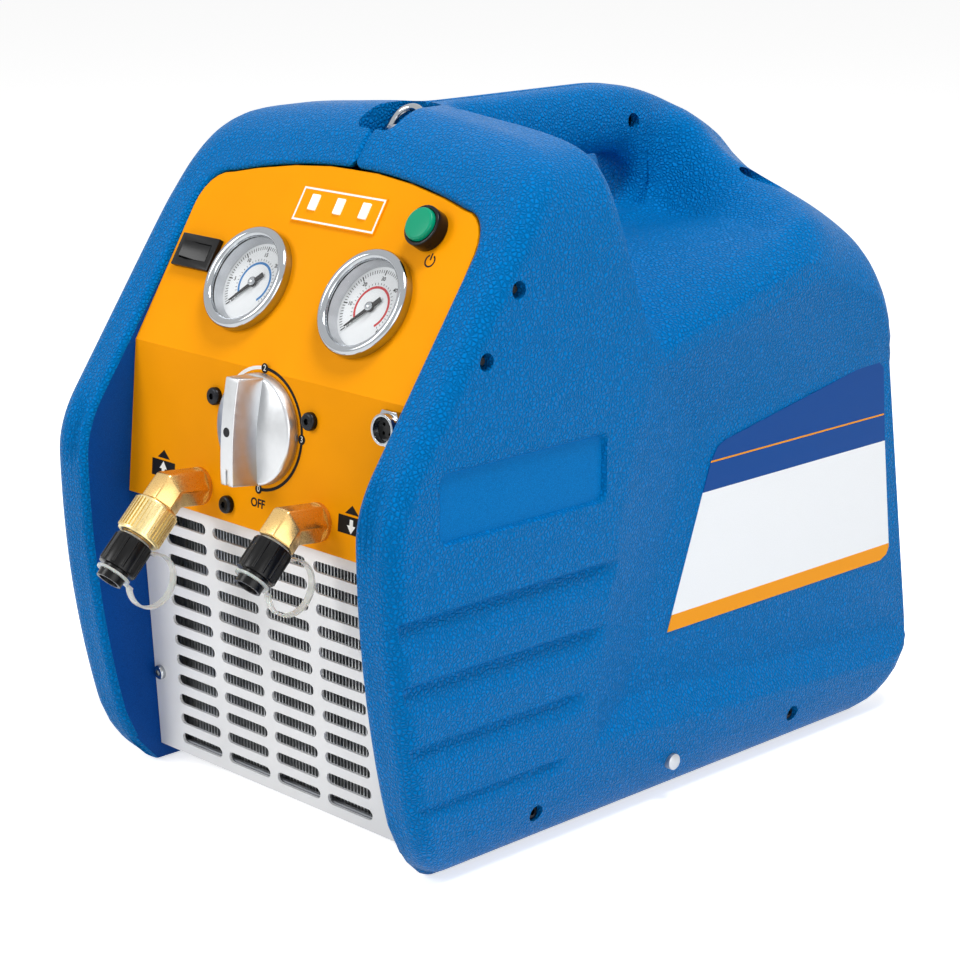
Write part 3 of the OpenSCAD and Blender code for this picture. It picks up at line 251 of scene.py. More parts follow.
def printed(name, base, roughness):
    """Screen print: flat ink with slightly uneven cover."""
    material, tree, surface = finish(name, base, roughness=roughness, **{"Specular IOR Level": 0.1})
    cover = pattern(tree, "ShaderNodeTexNoise", 0.6, Detail=1.0)
    two_tone(tree, surface, cover.outputs["Fac"], shade(base, 0.94), shade(base, 1.04))
    return material


FINISHES = {}
EVEN = (1, 1, 1)
# Bare metals: name, colour, roughness, width of the marks in mm, their stretch, depth in mm, spread
METALS = {
    # Zinc-plated sheet: dull grey with long streaks along Y
    "zinc": ("zinc_plated_sheet", "#B9BCC0", 0.42, 6, (1, 0.3, 1), 0.01),
    # Polished chrome: a clear mirror with hardly a mark
    "chrome": ("polished_chrome", "#A9ADB1", 0.08, 0.8, EVEN, 0.002, 0.03),
    # Satin silver plate: a wide soft highlight
    "knob": ("satin_silver_plate", "#C6C8CA", 0.34, 3.0, EVEN, 0.001, 0.03),
    # Turned brass: a warm gloss with fine marks
    "brass": ("turned_brass", "#DDB877", 0.3, 0.8, (1, 1, 4), 0.003),
    # Knurled brass: painted paler than the turned brass, a painted highlight for the light its many facets
    # catch
    "painted_highlight_brass": ("knurled_brass", "#E3CE96", 0.32, 0.8, EVEN, 0.003),
    # Drawn copper: a warm shine with streaks along X
    "copper": ("drawn_copper", "#B9703F", 0.3, 0.9, (0.2, 1, 1), 0.006),
    # Bright tube: a cold shine with streaks along X
    "tube": ("bright_tube", "#C9CCCE", 0.2, 0.9, (0.2, 1, 1), 0.006),
    # Rolled fin stock: matt silver with streaks along Z
    "fin": ("rolled_fin_stock", "#C4C6C8", 0.45, 0.7, (1, 1, 0.2), 0.006),
    # Cast aluminium: rough grey without a clear highlight
    "cast": ("cast_aluminium", "#A3A6AA", 0.55, 0.8, EVEN, 0.05),
    # Black oxide on steel: dark with a dull shine
    "black_steel": ("black_oxide_steel", "#2A2B2E", 0.33, 0.5, EVEN, 0.004),
}
# Moulded plastics: name, colour, roughness, width and depth of the mould's grain in mm
PLASTICS = {
    # Injection-moulded ABS: near black with a small soft highlight
    "black": ("black_moulded_abs", "#0B0B0C", 0.26),
    # Rubber: black and matt
    "rubber": ("black_rubber", "#1B1B1D", 0.62, 0.7, 0.04),
}
# Prints of a fixed colour: name, colour, roughness
INKS = {
    # Dial card: a matt off-white ground
    "dial": ("dial_card", "#E9ECEE", 0.5),
    # Black ink: flat
    "ink": ("black_ink", "#141416", 0.45),
    # White ink: flat and slightly warm
    "white_ink": ("white_ink", "#F4F4F0", 0.45),
}
# Prints whose colour the user sets: name, roughness
SET_INKS = {
    # Dial inks: clear flat colours on the card
    "low_arc": ("blue_dial_ink", 0.45),
    "high_arc": ("red_dial_ink", 0.45),
    # Sticker: smooth paper and inks with a slight gloss
    "label_field": ("label_paper", 0.3),
    "label_head": ("label_blue_ink", 0.3),
    "label_foot": ("label_orange_ink", 0.3),
}


def make_finishes(context):
    """Makes every material of the machine once."""
    colours = context.scene.machine_colours
    sizes = context.scene.machine_sizes
    made = FINISHES
    blue, sheen = tuple(colours.shell), tuple(colours.sheen)
    # Blow-moulded polyethylene: satin blue, with painted highlights on the pebble crowns and painted shade
    # between them
    made["shell"] = moulded_polyethylene("moulded_polyethylene", blue, sheen, sizes.grain / MM, 0.6)
    # The same plastic with hardly any grain: smooth, with a wide soft sheen
    made["bare_shell"] = moulded_polyethylene("smooth_polyethylene", blue, sheen, 0.8, 0.02)
    # Inner skin of the mouldings: smooth, and a darker blue that is painted shade inside the cavity
    made["lining"] = moulded_polyethylene("smooth_inner_skin", linear("#07418E"), sheen, 0.8, 0.02, 0.4)
    # Powder coat on the panel: even orange that hardly mirrors anything
    made["panel"] = powder_coat("orange_powder_coat", tuple(colours.panel), roughness=0.45, gloss=0.05)
    # Silver paint on the sheets: pale with a slight gloss
    made["grille"] = powder_coat("silver_sheet_paint", tuple(colours.grille), 0.7, 0.015, 0.33)
    # Motor enamel: dark with a soft gloss
    made["enamel"] = powder_coat("dark_motor_enamel", linear("#2C2F34"), 1.2, 0.03, 0.35)
    made.update({key: worked_metal(*row) for key, row in METALS.items()})
    made.update({key: moulded_plastic(*row) for key, row in PLASTICS.items()})
    for key, (name, hex_colour, roughness) in INKS.items():
        made[key] = printed(name, linear(hex_colour), roughness)
    for key, (name, roughness) in SET_INKS.items():
        made[key] = printed(name, tuple(getattr(colours, key)), roughness)
    # Acrylic over the dial: nearly all light passes, and only a gloss shows
    made["lens"] = finish("clear_acrylic", (1, 1, 1, 1), roughness=0.03, Alpha=0.03)[0]
    # Natural polyamide strap: milky, with light passing through
    milky = linear("#E7E6DF")
    strap = {"Transmission Weight": 0.35, "Subsurface Weight": 0.2, "Alpha": 0.8}
    made["strap"] = finish("natural_polyamide", milky, roughness=0.25, **strap)[0]
    # Tinted polycarbonate lens, lit from behind
    green = tuple(colours.button)
    glow = {"Emission Color": green, "Emission Strength": 0.06, "Specular IOR Level": 0.2}
    made["button"] = finish("green_polycarbonate", green, roughness=0.28, **glow)[0]
    # White lamp lens, softly lit from behind
    lamp = linear("#FBFAEE")
    glow = {"Emission Color": lamp, "Emission Strength": 0.25}
    made["lamp"] = finish("white_lamp_lens", lamp, roughness=0.2, **glow)[0]


# Pieces


def placed(name, data):
    """A new object in the scene."""
    thing = bpy.data.objects.new(name, data)
    bpy.context.scene.collection.objects.link(thing)
    return thing


def add_piece(name, mesh, body, material, stands_for=(), sharp=38):
    """Makes a mesh in millimetres a piece of the machine that rides on a body."""
    mesh.transform(Matrix.Scale(MM, 4))
    if material is not None:
        mesh.materials.clear()
        mesh.materials.append(FINISHES[material])
    mesh.shade_smooth()
    mesh.set_sharp_from_angle(angle=math.radians(sharp))
    piece = placed(name, mesh)
    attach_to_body(piece, body)
    if stands_for:
        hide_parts(*stands_for)


def mesh_from(name, points, faces):
    """A mesh from points and faces with its faces turned outwards."""
    mesh = bpy.data.meshes.new(name)
    mesh.from_pydata([tuple(p) for p in points], [], [tuple(f) for f in faces])
    outwards(mesh)
    return mesh


def outwards(mesh, merge=1e-5):
    """Merges doubles and turns every face outwards."""
    shape = bmesh.new()
    shape.from_mesh(mesh)
    bmesh.ops.remove_doubles(shape, verts=shape.verts, dist=merge)
    bmesh.ops.recalc_face_normals(shape, faces=shape.faces)
    shape.to_mesh(mesh)
    shape.free()


def joined(name, meshes):
    """One mesh from several, with their materials' faces kept in place."""
    shape = bmesh.new()
    for mesh in meshes:
        shape.from_mesh(mesh)
    whole = bpy.data.meshes.new(name)
    shape.to_mesh(whole)
    shape.free()
    return whole


def evaluated(data, name, set_up=None):
    """The mesh of a mesh or curve after the modifiers that set_up adds, which are then gone."""
    holder = placed(name + "_holder", data)
    if set_up:
        set_up(holder)
    bpy.context.view_layer.update()
    graph = bpy.context.evaluated_depsgraph_get()
    result = bpy.data.meshes.new_from_object(holder.evaluated_get(graph), depsgraph=graph)
    bpy.data.objects.remove(holder)
    result.name = name
    return result


def bevelled(mesh, name, width, segments, angle):
    """The mesh with edges rounded where they turn by more than an angle in degrees."""

    def round_edges(holder):
        bevel = holder.modifiers.new("edges", "BEVEL")
        bevel.width = width
        bevel.segments = segments
        bevel.angle_limit = math.radians(angle)

    return evaluated(mesh, name, round_edges)


# A solid's triangles are merged within this many mm and made flat faces up to this many degrees;
# what turns by more than the edge angle is rounded
SOLID_MERGE = 0.002
FLAT_ANGLE = 0.6
EDGE_ANGLE = 28


def softened(node, material, edge):
    """A solid with its edges rounded, in its node's place."""
    source = frame["nodes"][node]
    mesh = source.data.copy()
    mesh.transform(Matrix.Scale(1 / MM, 4))
    shape = bmesh.new()
    shape.from_mesh(mesh)
    bmesh.ops.remove_doubles(shape, verts=shape.verts, dist=SOLID_MERGE)
    flat = math.radians(FLAT_ANGLE)
    bmesh.ops.dissolve_limit(shape, angle_limit=flat, verts=shape.verts, edges=shape.edges)
    shape.to_mesh(mesh)
    shape.free()
    name = node + "_soft"
    rounded = bevelled(mesh, name, edge, 3, EDGE_ANGLE)
    add_piece(name, rounded, source["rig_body"], material, (node,))


def dress(material, *nodes):
    """Gives solids that stay as they are their finish."""
    for node in nodes:
        mesh = frame["nodes"][node].data
        mesh.materials.clear()
        mesh.materials.append(FINISHES[material])


def circle(radius, count):
    """Outline of a circle round the origin."""
    angles = [2 * math.pi * k / count for k in range(count)]
    return [(radius * math.cos(a), radius * math.sin(a)) for a in angles]


def box_outline(x0, y0, x1, y1):
    """Outline of a rectangle between two corners."""
    return [(x0, y0), (x1, y0), (x1, y1), (x0, y1)]


def round_box_outline(half_x, half_y, r):
    """Outline of a rectangle with round corners, centred on the origin."""
    outline = []
    for cx, cy, start in ((1, 1, 0), (-1, 1, 90), (-1, -1, 180), (1, -1, 270)):
        for step in range(7):
            a = math.radians(start + step * 15)
            outline.append((cx * (half_x - r) + r * math.cos(a), cy * (half_y - r) + r * math.sin(a)))
    return outline


def lathe(name, profile, steps=96):
    """A closed solid turned about local Z from a closed profile of [radius, height]."""
    points = []
    faces = []
    rows = len(profile)
    for i, (x, y) in enumerate(circle(1, steps)):
        points += [(r * x, r * y, z) for r, z in profile]
        k = (i + 1) % steps
        for j in range(rows):
            n = (j + 1) % rows
            faces.append((i * rows + j, k * rows + j, k * rows + n, i * rows + n))
    return mesh_from(name, points, faces)


def loft(name, rings):
    """A closed solid through rings of equally many points, with its two ends filled."""
    count = len(rings[0])
    last = (len(rings) - 1) * count
    faces = []
    for foot in range(0, last, count):
        for k in range(count):
            n = (k + 1) % count
            faces.append((foot + k, foot + n, foot + count + n, foot + count + k))
    faces += [tuple(range(count)), tuple(range(last, last + count))]
    return mesh_from(name, [point for ring in rings for point in ring], faces)


def plate(name, outline, low, high):
    """A closed flat piece with an outline of [x, y] from low to high along local Z."""
    return loft(name, [[(x, y, z) for x, y in outline] for z in (low, high)])


def arc_band(name, inner, outer, start, sweep, low, high, steps=64):
    """A closed flat band along an arc, angles in degrees."""
    angles = [math.radians(start + sweep * i / steps) for i in range(steps + 1)]
    outside = [(outer * math.cos(a), outer * math.sin(a)) for a in angles]
    inside = [(inner * math.cos(a), inner * math.sin(a)) for a in reversed(angles)]
    return plate(name, outside + inside, low, high)


def lettering(name, words, size, low, high, weight=0.0):
    """Plain characters centred on the origin as a closed mesh."""
    curve = bpy.data.curves.new(name, "FONT")
    curve.body = words
    curve.size = size
    curve.align_x = "CENTER"
    curve.align_y = "CENTER"
    curve.extrude = (high - low) / 2
    curve.offset = weight
    return moved(evaluated(curve, name), Matrix.Translation((0, 0, (low + high) / 2)))


def moved(mesh, matrix):
    """The mesh after a placement."""
    mesh.transform(matrix)
    return mesh


def mirrored(mesh):
    """A copy of the mesh on the other side of the parting plane."""
    other = moved(mesh.copy(), Matrix.Scale(-1, 4, (1, 0, 0)))
    other.flip_normals()
    return other


# Geometry Nodes: repeated shapes, always realised to plain mesh


def new_tree(name, inputs):
    """A node tree with named inputs and a finish. Returns the tree and its input node."""
    tree = bpy.data.node_groups.new(name, "GeometryNodeTree")
    tree.interface.new_socket("Geometry", in_out="OUTPUT", socket_type="NodeSocketGeometry")
    for label, kind in {"Geometry": "Geometry", **inputs, "Finish": "Material"}.items():
        tree.interface.new_socket(label, in_out="INPUT", socket_type="NodeSocket" + kind)
    return tree, add(tree, "NodeGroupInput")


def close_tree(tree, group, points, shape, turn=(0, 0, 0)):
    """Sets a shape on points, realises it, sets the finish and ends the tree."""
    inputs = {"Points": points, "Instance": shape, "Rotation": turn}
    copies = add(tree, "GeometryNodeInstanceOnPoints", inputs)
    real = add(tree, "GeometryNodeRealizeInstances", {0: copies.outputs[0]})
    inputs = {"Geometry": real.outputs[0], "Material": group.outputs["Finish"]}
    dressed = add(tree, "GeometryNodeSetMaterial", inputs)
    add(tree, "NodeGroupOutput", {0: dressed.outputs[0]})


def close_facing_out(tree, group, points):
    """Ends a tree with bars on points, each turned to face away from the middle."""
    place = add(tree, "GeometryNodeInputPosition")
    turn = add(tree, "FunctionNodeAlignRotationToVector", {"Vector": place.outputs[0]}, axis="X")
    bar = add(tree, "GeometryNodeMeshCube", {"Size": group.outputs["Size"]})
    close_tree(tree, group, points, bar.outputs[0], turn.outputs[0])


def grown(name, tree, values, points=((0, 0, 0),)):
    """The mesh that a node tree makes on a cloud of points."""
    cloud = bpy.data.meshes.new(name + "_points")
    cloud.from_pydata([tuple(p) for p in points], [], [])

    def attach(holder):
        grow = holder.modifiers.new("grow", "NODES")
        grow.node_group = tree
        for label, value in values.items():
            socket = next(s for s in tree.interface.items_tree if s.name == label and s.in_out == "INPUT")
            grow[socket.identifier] = value

    return evaluated(cloud, name, attach)


def stack_tree():
    """Plates set side by side at a pitch."""
    tree, group = new_tree("plate_stack", {"Count": "Int", "Pitch": "Vector", "Size": "Vector"})
    inputs = {"Count": group.outputs["Count"], "Offset": group.outputs["Pitch"]}
    line = add(tree, "GeometryNodeMeshLine", inputs)
    leaf = add(tree, "GeometryNodeMeshCube", {"Size": group.outputs["Size"]})
    close_tree(tree, group, line.outputs[0], leaf.outputs[0])
    return tree


def rib_ring_tree():
    """Bars standing round local Z, each turned to face outwards."""
    tree, group = new_tree("rib_ring", {"Count": "Int", "Radius": "Float", "Size": "Vector"})
    inputs = {"Vertices": group.outputs["Count"], "Radius": group.outputs["Radius"]}
    close_facing_out(tree, group, add(tree, "GeometryNodeMeshCircle", inputs).outputs[0])
    return tree


def tick_tree():
    """Marks along an arc, each pointing at its centre."""
    inputs = {"Count": "Int", "Radius": "Float", "Start": "Float", "Sweep": "Float", "Size": "Vector"}
    tree, group = new_tree("dial_ticks", inputs)
    sockets = {"Resolution": "Count", "Radius": "Radius", "Start Angle": "Start", "Sweep Angle": "Sweep"}
    arc = add(tree, "GeometryNodeCurveArc", {key: group.outputs[label] for key, label in sockets.items()})
    dots = add(tree, "GeometryNodeCurveToMesh", {0: arc.outputs[0]})
    close_facing_out(tree, group, dots.outputs[0])
    return tree


def scatter_tree():
    """One shape set on every point of a cloud, turned the same way."""
    tree, group = new_tree("set_on_points", {"Shape": "Object", "Turn": "Vector"})
    shape = add(tree, "GeometryNodeObjectInfo", {"Object": group.outputs["Shape"]})
    close_tree(tree, group, group.outputs[0], shape.outputs["Geometry"], group.outputs["Turn"])
    return tree


# Places on the machine, from the same sizes as the solids


def measured(place):
    """A place read off a solid, to the half millimetre that solids are drawn to."""
    return round(place * 2) / 2


HALF_W = measured(node_span("right_shell")[1].x)
BODY_H = measured(node_span("right_shell")[1].z)
FRONT = measured(node_span("right_shell")[0].y)
REAR = measured(node_span("right_shell")[1].y)
SIDE_WALL = 26.5
INNER_W = HALF_W - SIDE_WALL
BEND_Y = FRONT + 37
BEND_Z = 237
LOWER_LEAN = 5.5
UPPER_LEAN = 32
GAUGE_X = (-37, 51.5)
GAUGE_V = 43.5
KNOB_V = -29
KNOB_R = 28
KNOB_TOP = 22.5
PORT_X = (-46, 46)
PORT_V = -67
ELBOW_LEG = 20
BEND_AF = 17.8
DROP_ANGLE = 45 + LOWER_LEAN
GRILLE_LEAN = 3.2
GRILLE_T = 1.5
SLOT_LEN = 34
SLOT_H = 6
SLOT_X = tuple(-68.1 + 39.75 * k for k in range(4))
SLOT_V = tuple(9 + 11.4 * k for k in range(12))
# Turns a flat piece so that its face looks along +X
SIDE_TURN = Matrix.Rotation(math.radians(90), 4, "Z") @ Matrix.Rotation(math.radians(90), 4, "X")


def on_face(lean, x, v):
    """Frame of a spot on a panel face: local Y up the face, local Z out of it."""
    tilt = Matrix.Rotation(math.radians(90 - lean), 4, "X")
    return Matrix.Translation((0, BEND_Y, BEND_Z)) @ tilt @ Matrix.Translation((x, v, 0))


def on_lower(x, v):
    """Frame of a spot on the panel below its bend."""
    return on_face(LOWER_LEAN, x, v)


def on_upper(x, v):
    """Frame of a spot on the panel above its bend."""
    return on_face(UPPER_LEAN, x, v)


def on_leg(side, along):
    """Frame along the outer leg of a fitting."""
    bent = Matrix.Rotation(math.radians(DROP_ANGLE), 4, "X")
    corner = Matrix.Translation((0, 0, ELBOW_LEG))
    return on_lower(PORT_X[side], PORT_V) @ corner @ bent @ Matrix.Translation((0, 0, along))


def on_grille(x, v):
    """Frame of a spot on the grille."""
    low, high = node_span("front_grille")
    foot = Vector((0, high.y - GRILLE_T * math.cos(math.radians(GRILLE_LEAN)), low.z))
    tilt = Matrix.Rotation(math.radians(90 + GRILLE_LEAN), 4, "X")
    return Matrix.Translation(foot) @ tilt @ Matrix.Translation((x, v, 0))


# Half shells: the solids' formulas at a finer pitch, with rounder edges and forms that the photo adds

KNEE_Z = BODY_H - 182
KNEE_RUN = 32.6
FRONT_SLOPE = math.tan(math.radians(35))
BELLY_BEND = 0.00085
TOE = (20, 40)
SKIRT = (52, 44)
REAR_RAKE = 0.16
FALL_Y = REAR - 153
FALL_BEND = 310
RIM_ROUND = 10
HOOD_ROUND = 16
REAR_ROUND = 20
LIP_ROUND = 4
HANDLE_HALF = 17
GRIP_FLOOR = BODY_H - 68
GRIP_H = 37
GRIP_BELLY = 6
HUMP_Y = (FRONT + 144, FRONT + 188)
TAIL_Y = (REAR - 121, REAR - 77)
GRIP_Y = (FRONT + 195, TAIL_Y[0] - 4)
HOOD_Y = FRONT + 142
TAIL_START = REAR - 75
OPEN_TOP = BODY_H - 29
OPEN_CROWN = 10
OPEN_CORNER = 18
BACK_TOP = BODY_H - 116
BACK_FALL = 0.113
CEILING_Y = FRONT + 166
FOOT_ROWS = ((21, 1.5), (13.5, 6), (7.5, 14), (2.5, 34))
BELLY_ROWS = (0.25, 0.5, 0.75)
# Share of the half width, drop below the roof line
HOOD_ROOF = (
    (1, 70), (0.995, 50), (0.975, 34), (0.925, 21), (0.84, 13), (0.72, 8.6), (0.55, 5.4),
    (0.35, 2.9), (0.23, 1.4), (0.15, 0.6), (0.085, 0.2), (0.042, 0.05), (0, 0),
)
REAR_ROOF = (
    (1, 105), (0.985, 81), (0.945, 66), (0.875, 54), (0.77, 45), (0.632, 38), (0.485, 31.5),
    (0.34, 24), (0.236, 15.5), (0.162, 7), (0.09, 2), (0.04, 0.5), (0, 0),
)
ROOF_ROW = len(FOOT_ROWS) + len(BELLY_ROWS)
LAST_ROW = ROOF_ROW + len(HOOD_ROOF) - 1


def mix(a, b, t):
    """Goes from a to b as t goes from 0 to 1."""
    return a * (1 - t) + b * t


def smooth(low, high, y):
    """Rises softly from 0 to 1 between low and high."""
    t = np.clip((y - low) / (high - low), 0, 1)
    return t * t * (3 - 2 * t)


def curl(reach, full, z):
    """How far an outline pulls in below the height full, as a quarter ellipse."""
    return reach * (1 - np.sqrt(1 - (np.clip(full - z, 0, full) / full) ** 2))


def front_y(z):
    """Front edge of the shells at a height: toe, belly, knee and slope."""
    low = FRONT + BELLY_BEND * (KNEE_Z - z) ** 2 + curl(*TOE, z)
    knee = FRONT + FRONT_SLOPE / (2 * KNEE_RUN) * (z - KNEE_Z) ** 2
    high = FRONT + FRONT_SLOPE * (z - KNEE_Z - KNEE_RUN / 2)
    return np.where(z < KNEE_Z, low, np.where(z < KNEE_Z + KNEE_RUN, knee, high))


def rear_y(z):
    """Rear edge of the shells at a height: skirt and rake."""
    return REAR - np.where(z < SKIRT[1], curl(*SKIRT, z), REAR_RAKE * (z - SKIRT[1]))


def roof_z(y):
    """Height of the centre line along the length."""
    return BODY_H - np.maximum(0, y - FALL_Y) ** 2 / FALL_BEND


def ridge_z(y):
    """Height of the ridge between side and valley along the length."""
    return GRIP_FLOOR - 43 + 0.27 * y


def control_rows(y):
    """Section points at y from the bottom edge up to the centre line: arrays x and z [row, ...]."""
    roof, ridge, floor, h = roof_z(y), ridge_z(y), GRIP_FLOOR, HANDLE_HALF
    flat = np.zeros_like(y)
    valley = [
        (HALF_W, ridge - 4), (HALF_W - 2, ridge + 4), (HALF_W - 8, ridge + 11), (HALF_W - 18, ridge + 17),
        (0.72 * HALF_W, mix(ridge + 17, floor, 0.4)), (0.53 * HALF_W, mix(ridge + 17, floor, 0.75)),
        (2 * h + 8, floor - 4), (h + 9, floor), (h + 1.5, floor + 9), (h, floor + 30),
        (h - 0.5, roof - 17), (0.65 * h, roof - 3.5), (0, roof),
    ]
    hump = 1 - smooth(*HUMP_Y, y)
    tail = smooth(*TAIL_Y, y)
    xs = []
    zs = []
    for k, (vx, vz) in enumerate(valley):
        x = mix(vx, REAR_ROOF[k][0] * HALF_W, tail)
        z = mix(vz, roof - REAR_ROOF[k][1], tail)
        xs.append(mix(x, HOOD_ROOF[k][0] * HALF_W, hump))
        zs.append(mix(z, roof - HOOD_ROOF[k][1], hump))
    low = FOOT_ROWS[-1][1]
    belly = [(HALF_W + flat, mix(low, zs[0], share)) for share in BELLY_ROWS]
    foot = [(HALF_W - inset + flat, height + flat) for inset, height in FOOT_ROWS]
    side_x = [p[0] for p in foot + belly]
    side_z = [p[1] for p in foot + belly]
    return np.array(side_x + xs), np.array(side_z + zs)


def spline(rows, u, mirror):
    """Catmull-Rom curve through rows at u; past the last row the curve goes on as its mirror image."""
    i = np.clip(np.floor(u).astype(int), 0, LAST_ROW - 1)
    t = u - i

    def row(k):
        inside = np.clip(k, 0, LAST_ROW)
        past = k > LAST_ROW
        found = np.take_along_axis(rows, inside[None], 0)[0]
        back = np.take_along_axis(rows, np.clip(2 * LAST_ROW - k, 0, LAST_ROW)[None], 0)[0]
        return np.where(past, mirror * back, found)

    a, b, c, d = row(i - 1), row(i), row(i + 1), row(i + 2)
    return 0.5 * (2 * b + (c - a) * t + (2 * a - 5 * b + 4 * c - d) * t**2 + (3 * b - a - 3 * c + d) * t**3)


def skin(u, y):
    """Outer skin at row u and length y."""
    xs, zs = control_rows(y)
    return spline(xs, u, -1), spline(zs, u, 1)


def skin_normal(u, y, step=0.05):
    """Outward normal of the skin in its section."""
    x0, z0 = skin(np.maximum(u - step, 0), y)
    x1, z1 = skin(np.minimum(u + step, LAST_ROW), y)
    nx, nz = z1 - z0, x0 - x1
    size = np.hypot(nx, nz) + 1e-9
    return nx / size, nz / size


def sink(r, t):
    """How far a rounded edge has sunk at a share t of its width from the edge."""
    return r * (1 - np.sqrt(np.clip(1 - (1 - t) ** 2, 0, 1)))


# Relief of the sides: lines of the pocket's mouth and floor, places along Y and Z
POCKET_DEPTH = 10
POCKET_Y = (FRONT + 178, REAR - 83, REAR + 30)
MOUTH_FRONT = ((46, 188, 236), (-79, -51, -33))
FLOOR_FRONT = ((64, 198), (-41, 8))
MOUTH_TOP = (POCKET_Y, (236, 267.4, 221.4))
FLOOR_TOP = ((8, 233), (198, 210))
MOUTH_FOOT = ((-79, 233), (46, 24))
FLOOR_FOOT = ((-41, 233), (64, 44))
BOARD_TOP = KNEE_Z - 34
BOARD_PITCH = 31.7
BOARD_COUNT = 4
BOARD_STEP = 4
BOARD_RAMP = 16
BOARD_END = FRONT + 159
BOARD_SLANT = 0.31
PLATE_Y = (FRONT + 31, FRONT + 143)
PLATE_Z = (KNEE_Z - 2, KNEE_Z + 33)
PLATE_DEEP = 2.6
PLATE_CORNER = 5


def soft_min(a, b, k):
    """The smaller of two numbers, with the change between them rounded over k."""
    h = np.clip(0.5 + 0.5 * (b - a) / k, 0, 1)
    return mix(b, a, h) - k * h * (1 - h)


def line_at(v, ends):
    """Value at v of a line through places and values, going straight on past its ends."""
    places, values = ends
    low = (values[1] - values[0]) / (places[1] - places[0]) * np.minimum(v - places[0], 0)
    high = (values[-1] - values[-2]) / (places[-1] - places[-2]) * np.maximum(v - places[-1], 0)
    return np.interp(v, places, values) + low + high


def pocket_depth(y, z):
    """Depth of the side pocket: bevels run from the ridge lines down to the label's flat."""
    front = line_at(z, MOUTH_FRONT)
    across = (y - front) / np.maximum(line_at(z, FLOOR_FRONT) - front, 8)
    top = line_at(y, MOUTH_TOP)
    down = (top - z) / np.maximum(top - line_at(y, FLOOR_TOP), 10)
    foot = line_at(y, MOUTH_FOOT)
    up = (z - foot) / np.maximum(line_at(y, FLOOR_FOOT) - foot, 10)
    share = soft_min(soft_min(across, down, 0.1), up, 0.1)
    return POCKET_DEPTH * np.maximum(soft_min(share, 1, 0.06), 0)


def board_depth(y, z):
    """Depth of the steps between the lapped boards: a sharp fall at each line, then a ramp back out."""
    depth = np.zeros_like(y)
    start = smooth(3.6, 5.2, y - front_y(z))
    for k in range(BOARD_COUNT):
        line = BOARD_TOP - k * BOARD_PITCH
        end = BOARD_END - BOARD_SLANT * (BOARD_TOP - line)
        below = line - z
        step = smooth(-0.6, 2.2, below) * np.clip(1 - (below - 2) / (BOARD_RAMP - 2), 0, 1)
        depth = np.maximum(depth, BOARD_STEP * step * start * (1 - smooth(end - 24, end, y)))
    return depth


def plate_depth(y, z):
    """Depth of the bare recess above the boards."""
    mid_y, mid_z = sum(PLATE_Y) / 2, sum(PLATE_Z) / 2
    half_y = (PLATE_Y[1] - PLATE_Y[0]) / 2 - PLATE_CORNER
    half_z = (PLATE_Z[1] - PLATE_Z[0]) / 2 - PLATE_CORNER
    out_y = np.maximum(np.abs(y - mid_y) - half_y, 0)
    out_z = np.maximum(np.abs(z - mid_z) - half_z, 0)
    gap = np.hypot(out_y, out_z) - PLATE_CORNER
    return PLATE_DEEP * (1 - smooth(-1.0, 0.2, gap))


FOOT_STEPS = 9
SIDE_STEPS = 205
ROOF_STEPS = 85
# The cavity wall has every fourth row of the skin
WALL_EVERY = 4
WALL_STATIONS = 41


def row_steps():
    """Row numbers of the fine skin: close together on the sides, where the relief is."""
    foot = len(FOOT_ROWS) - 1
    parts = [np.linspace(0, foot, FOOT_STEPS)[:-1], np.linspace(foot, ROOF_ROW, SIDE_STEPS)[:-1]]
    return np.concatenate([*parts, np.linspace(ROOF_ROW, LAST_ROW, ROOF_STEPS)])


SEAM_HALF = 2.0
NOTCH = 3.0
NOTCH_HALF = 4.5
NOTCH_STATIONS = 10
# Largest share of the wall that each rounding may take
RIM_SHARE = 0.6
REAR_SHARE = 0.75
LIP_SHARE = 0.3
EDGE_SHARES = 1 - np.cos(np.linspace(0, math.pi / 2, 9))
LIP_SHARES = 1 - np.cos(np.linspace(0, math.pi / 2, 5))
BAND_SHARES = (0.2, 0.5, 0.8)
FRONT_STEPS = 84
MIDDLE_STEPS = 120
REAR_STEPS = 26


def wall_thickness(u, y):
    """Distance between the skin and the cavity wall."""
    x, z = skin(u, np.clip(y, HOOD_Y, TAIL_START))
    inner_x, inner_z, nx, nz = inner_outline(u, y)
    return np.hypot(x - inner_x, z - inner_z)


def lip(u, front):
    """Rounded edge of the cavity at one of its ends, from the wall out to the face [station, row, xyz]."""
    y = np.full_like(u, FRONT if front else REAR - REAR_ROUND)
    x, z, nx, nz = inner_outline(u, y)
    r = np.minimum(LIP_ROUND, LIP_SHARE * wall_thickness(u, y))
    rows = []
    for t in LIP_SHARES[::-1]:
        px, pz = x + nx * sink(r, t), z + nz * sink(r, t)
        py = front_y(pz) + r * t if front else rear_y(pz) - r * t
        rows.append((px, py, pz))
    return rows


def band(inside, outside, face_y):
    """Stations across an end face, between the cavity's edge and the skin's."""
    rows = []
    for share in BAND_SHARES:
        x, z = mix(inside[0], outside[0], share), mix(inside[2], outside[2], share)
        rows.append((x, face_y(z), z))
    return rows


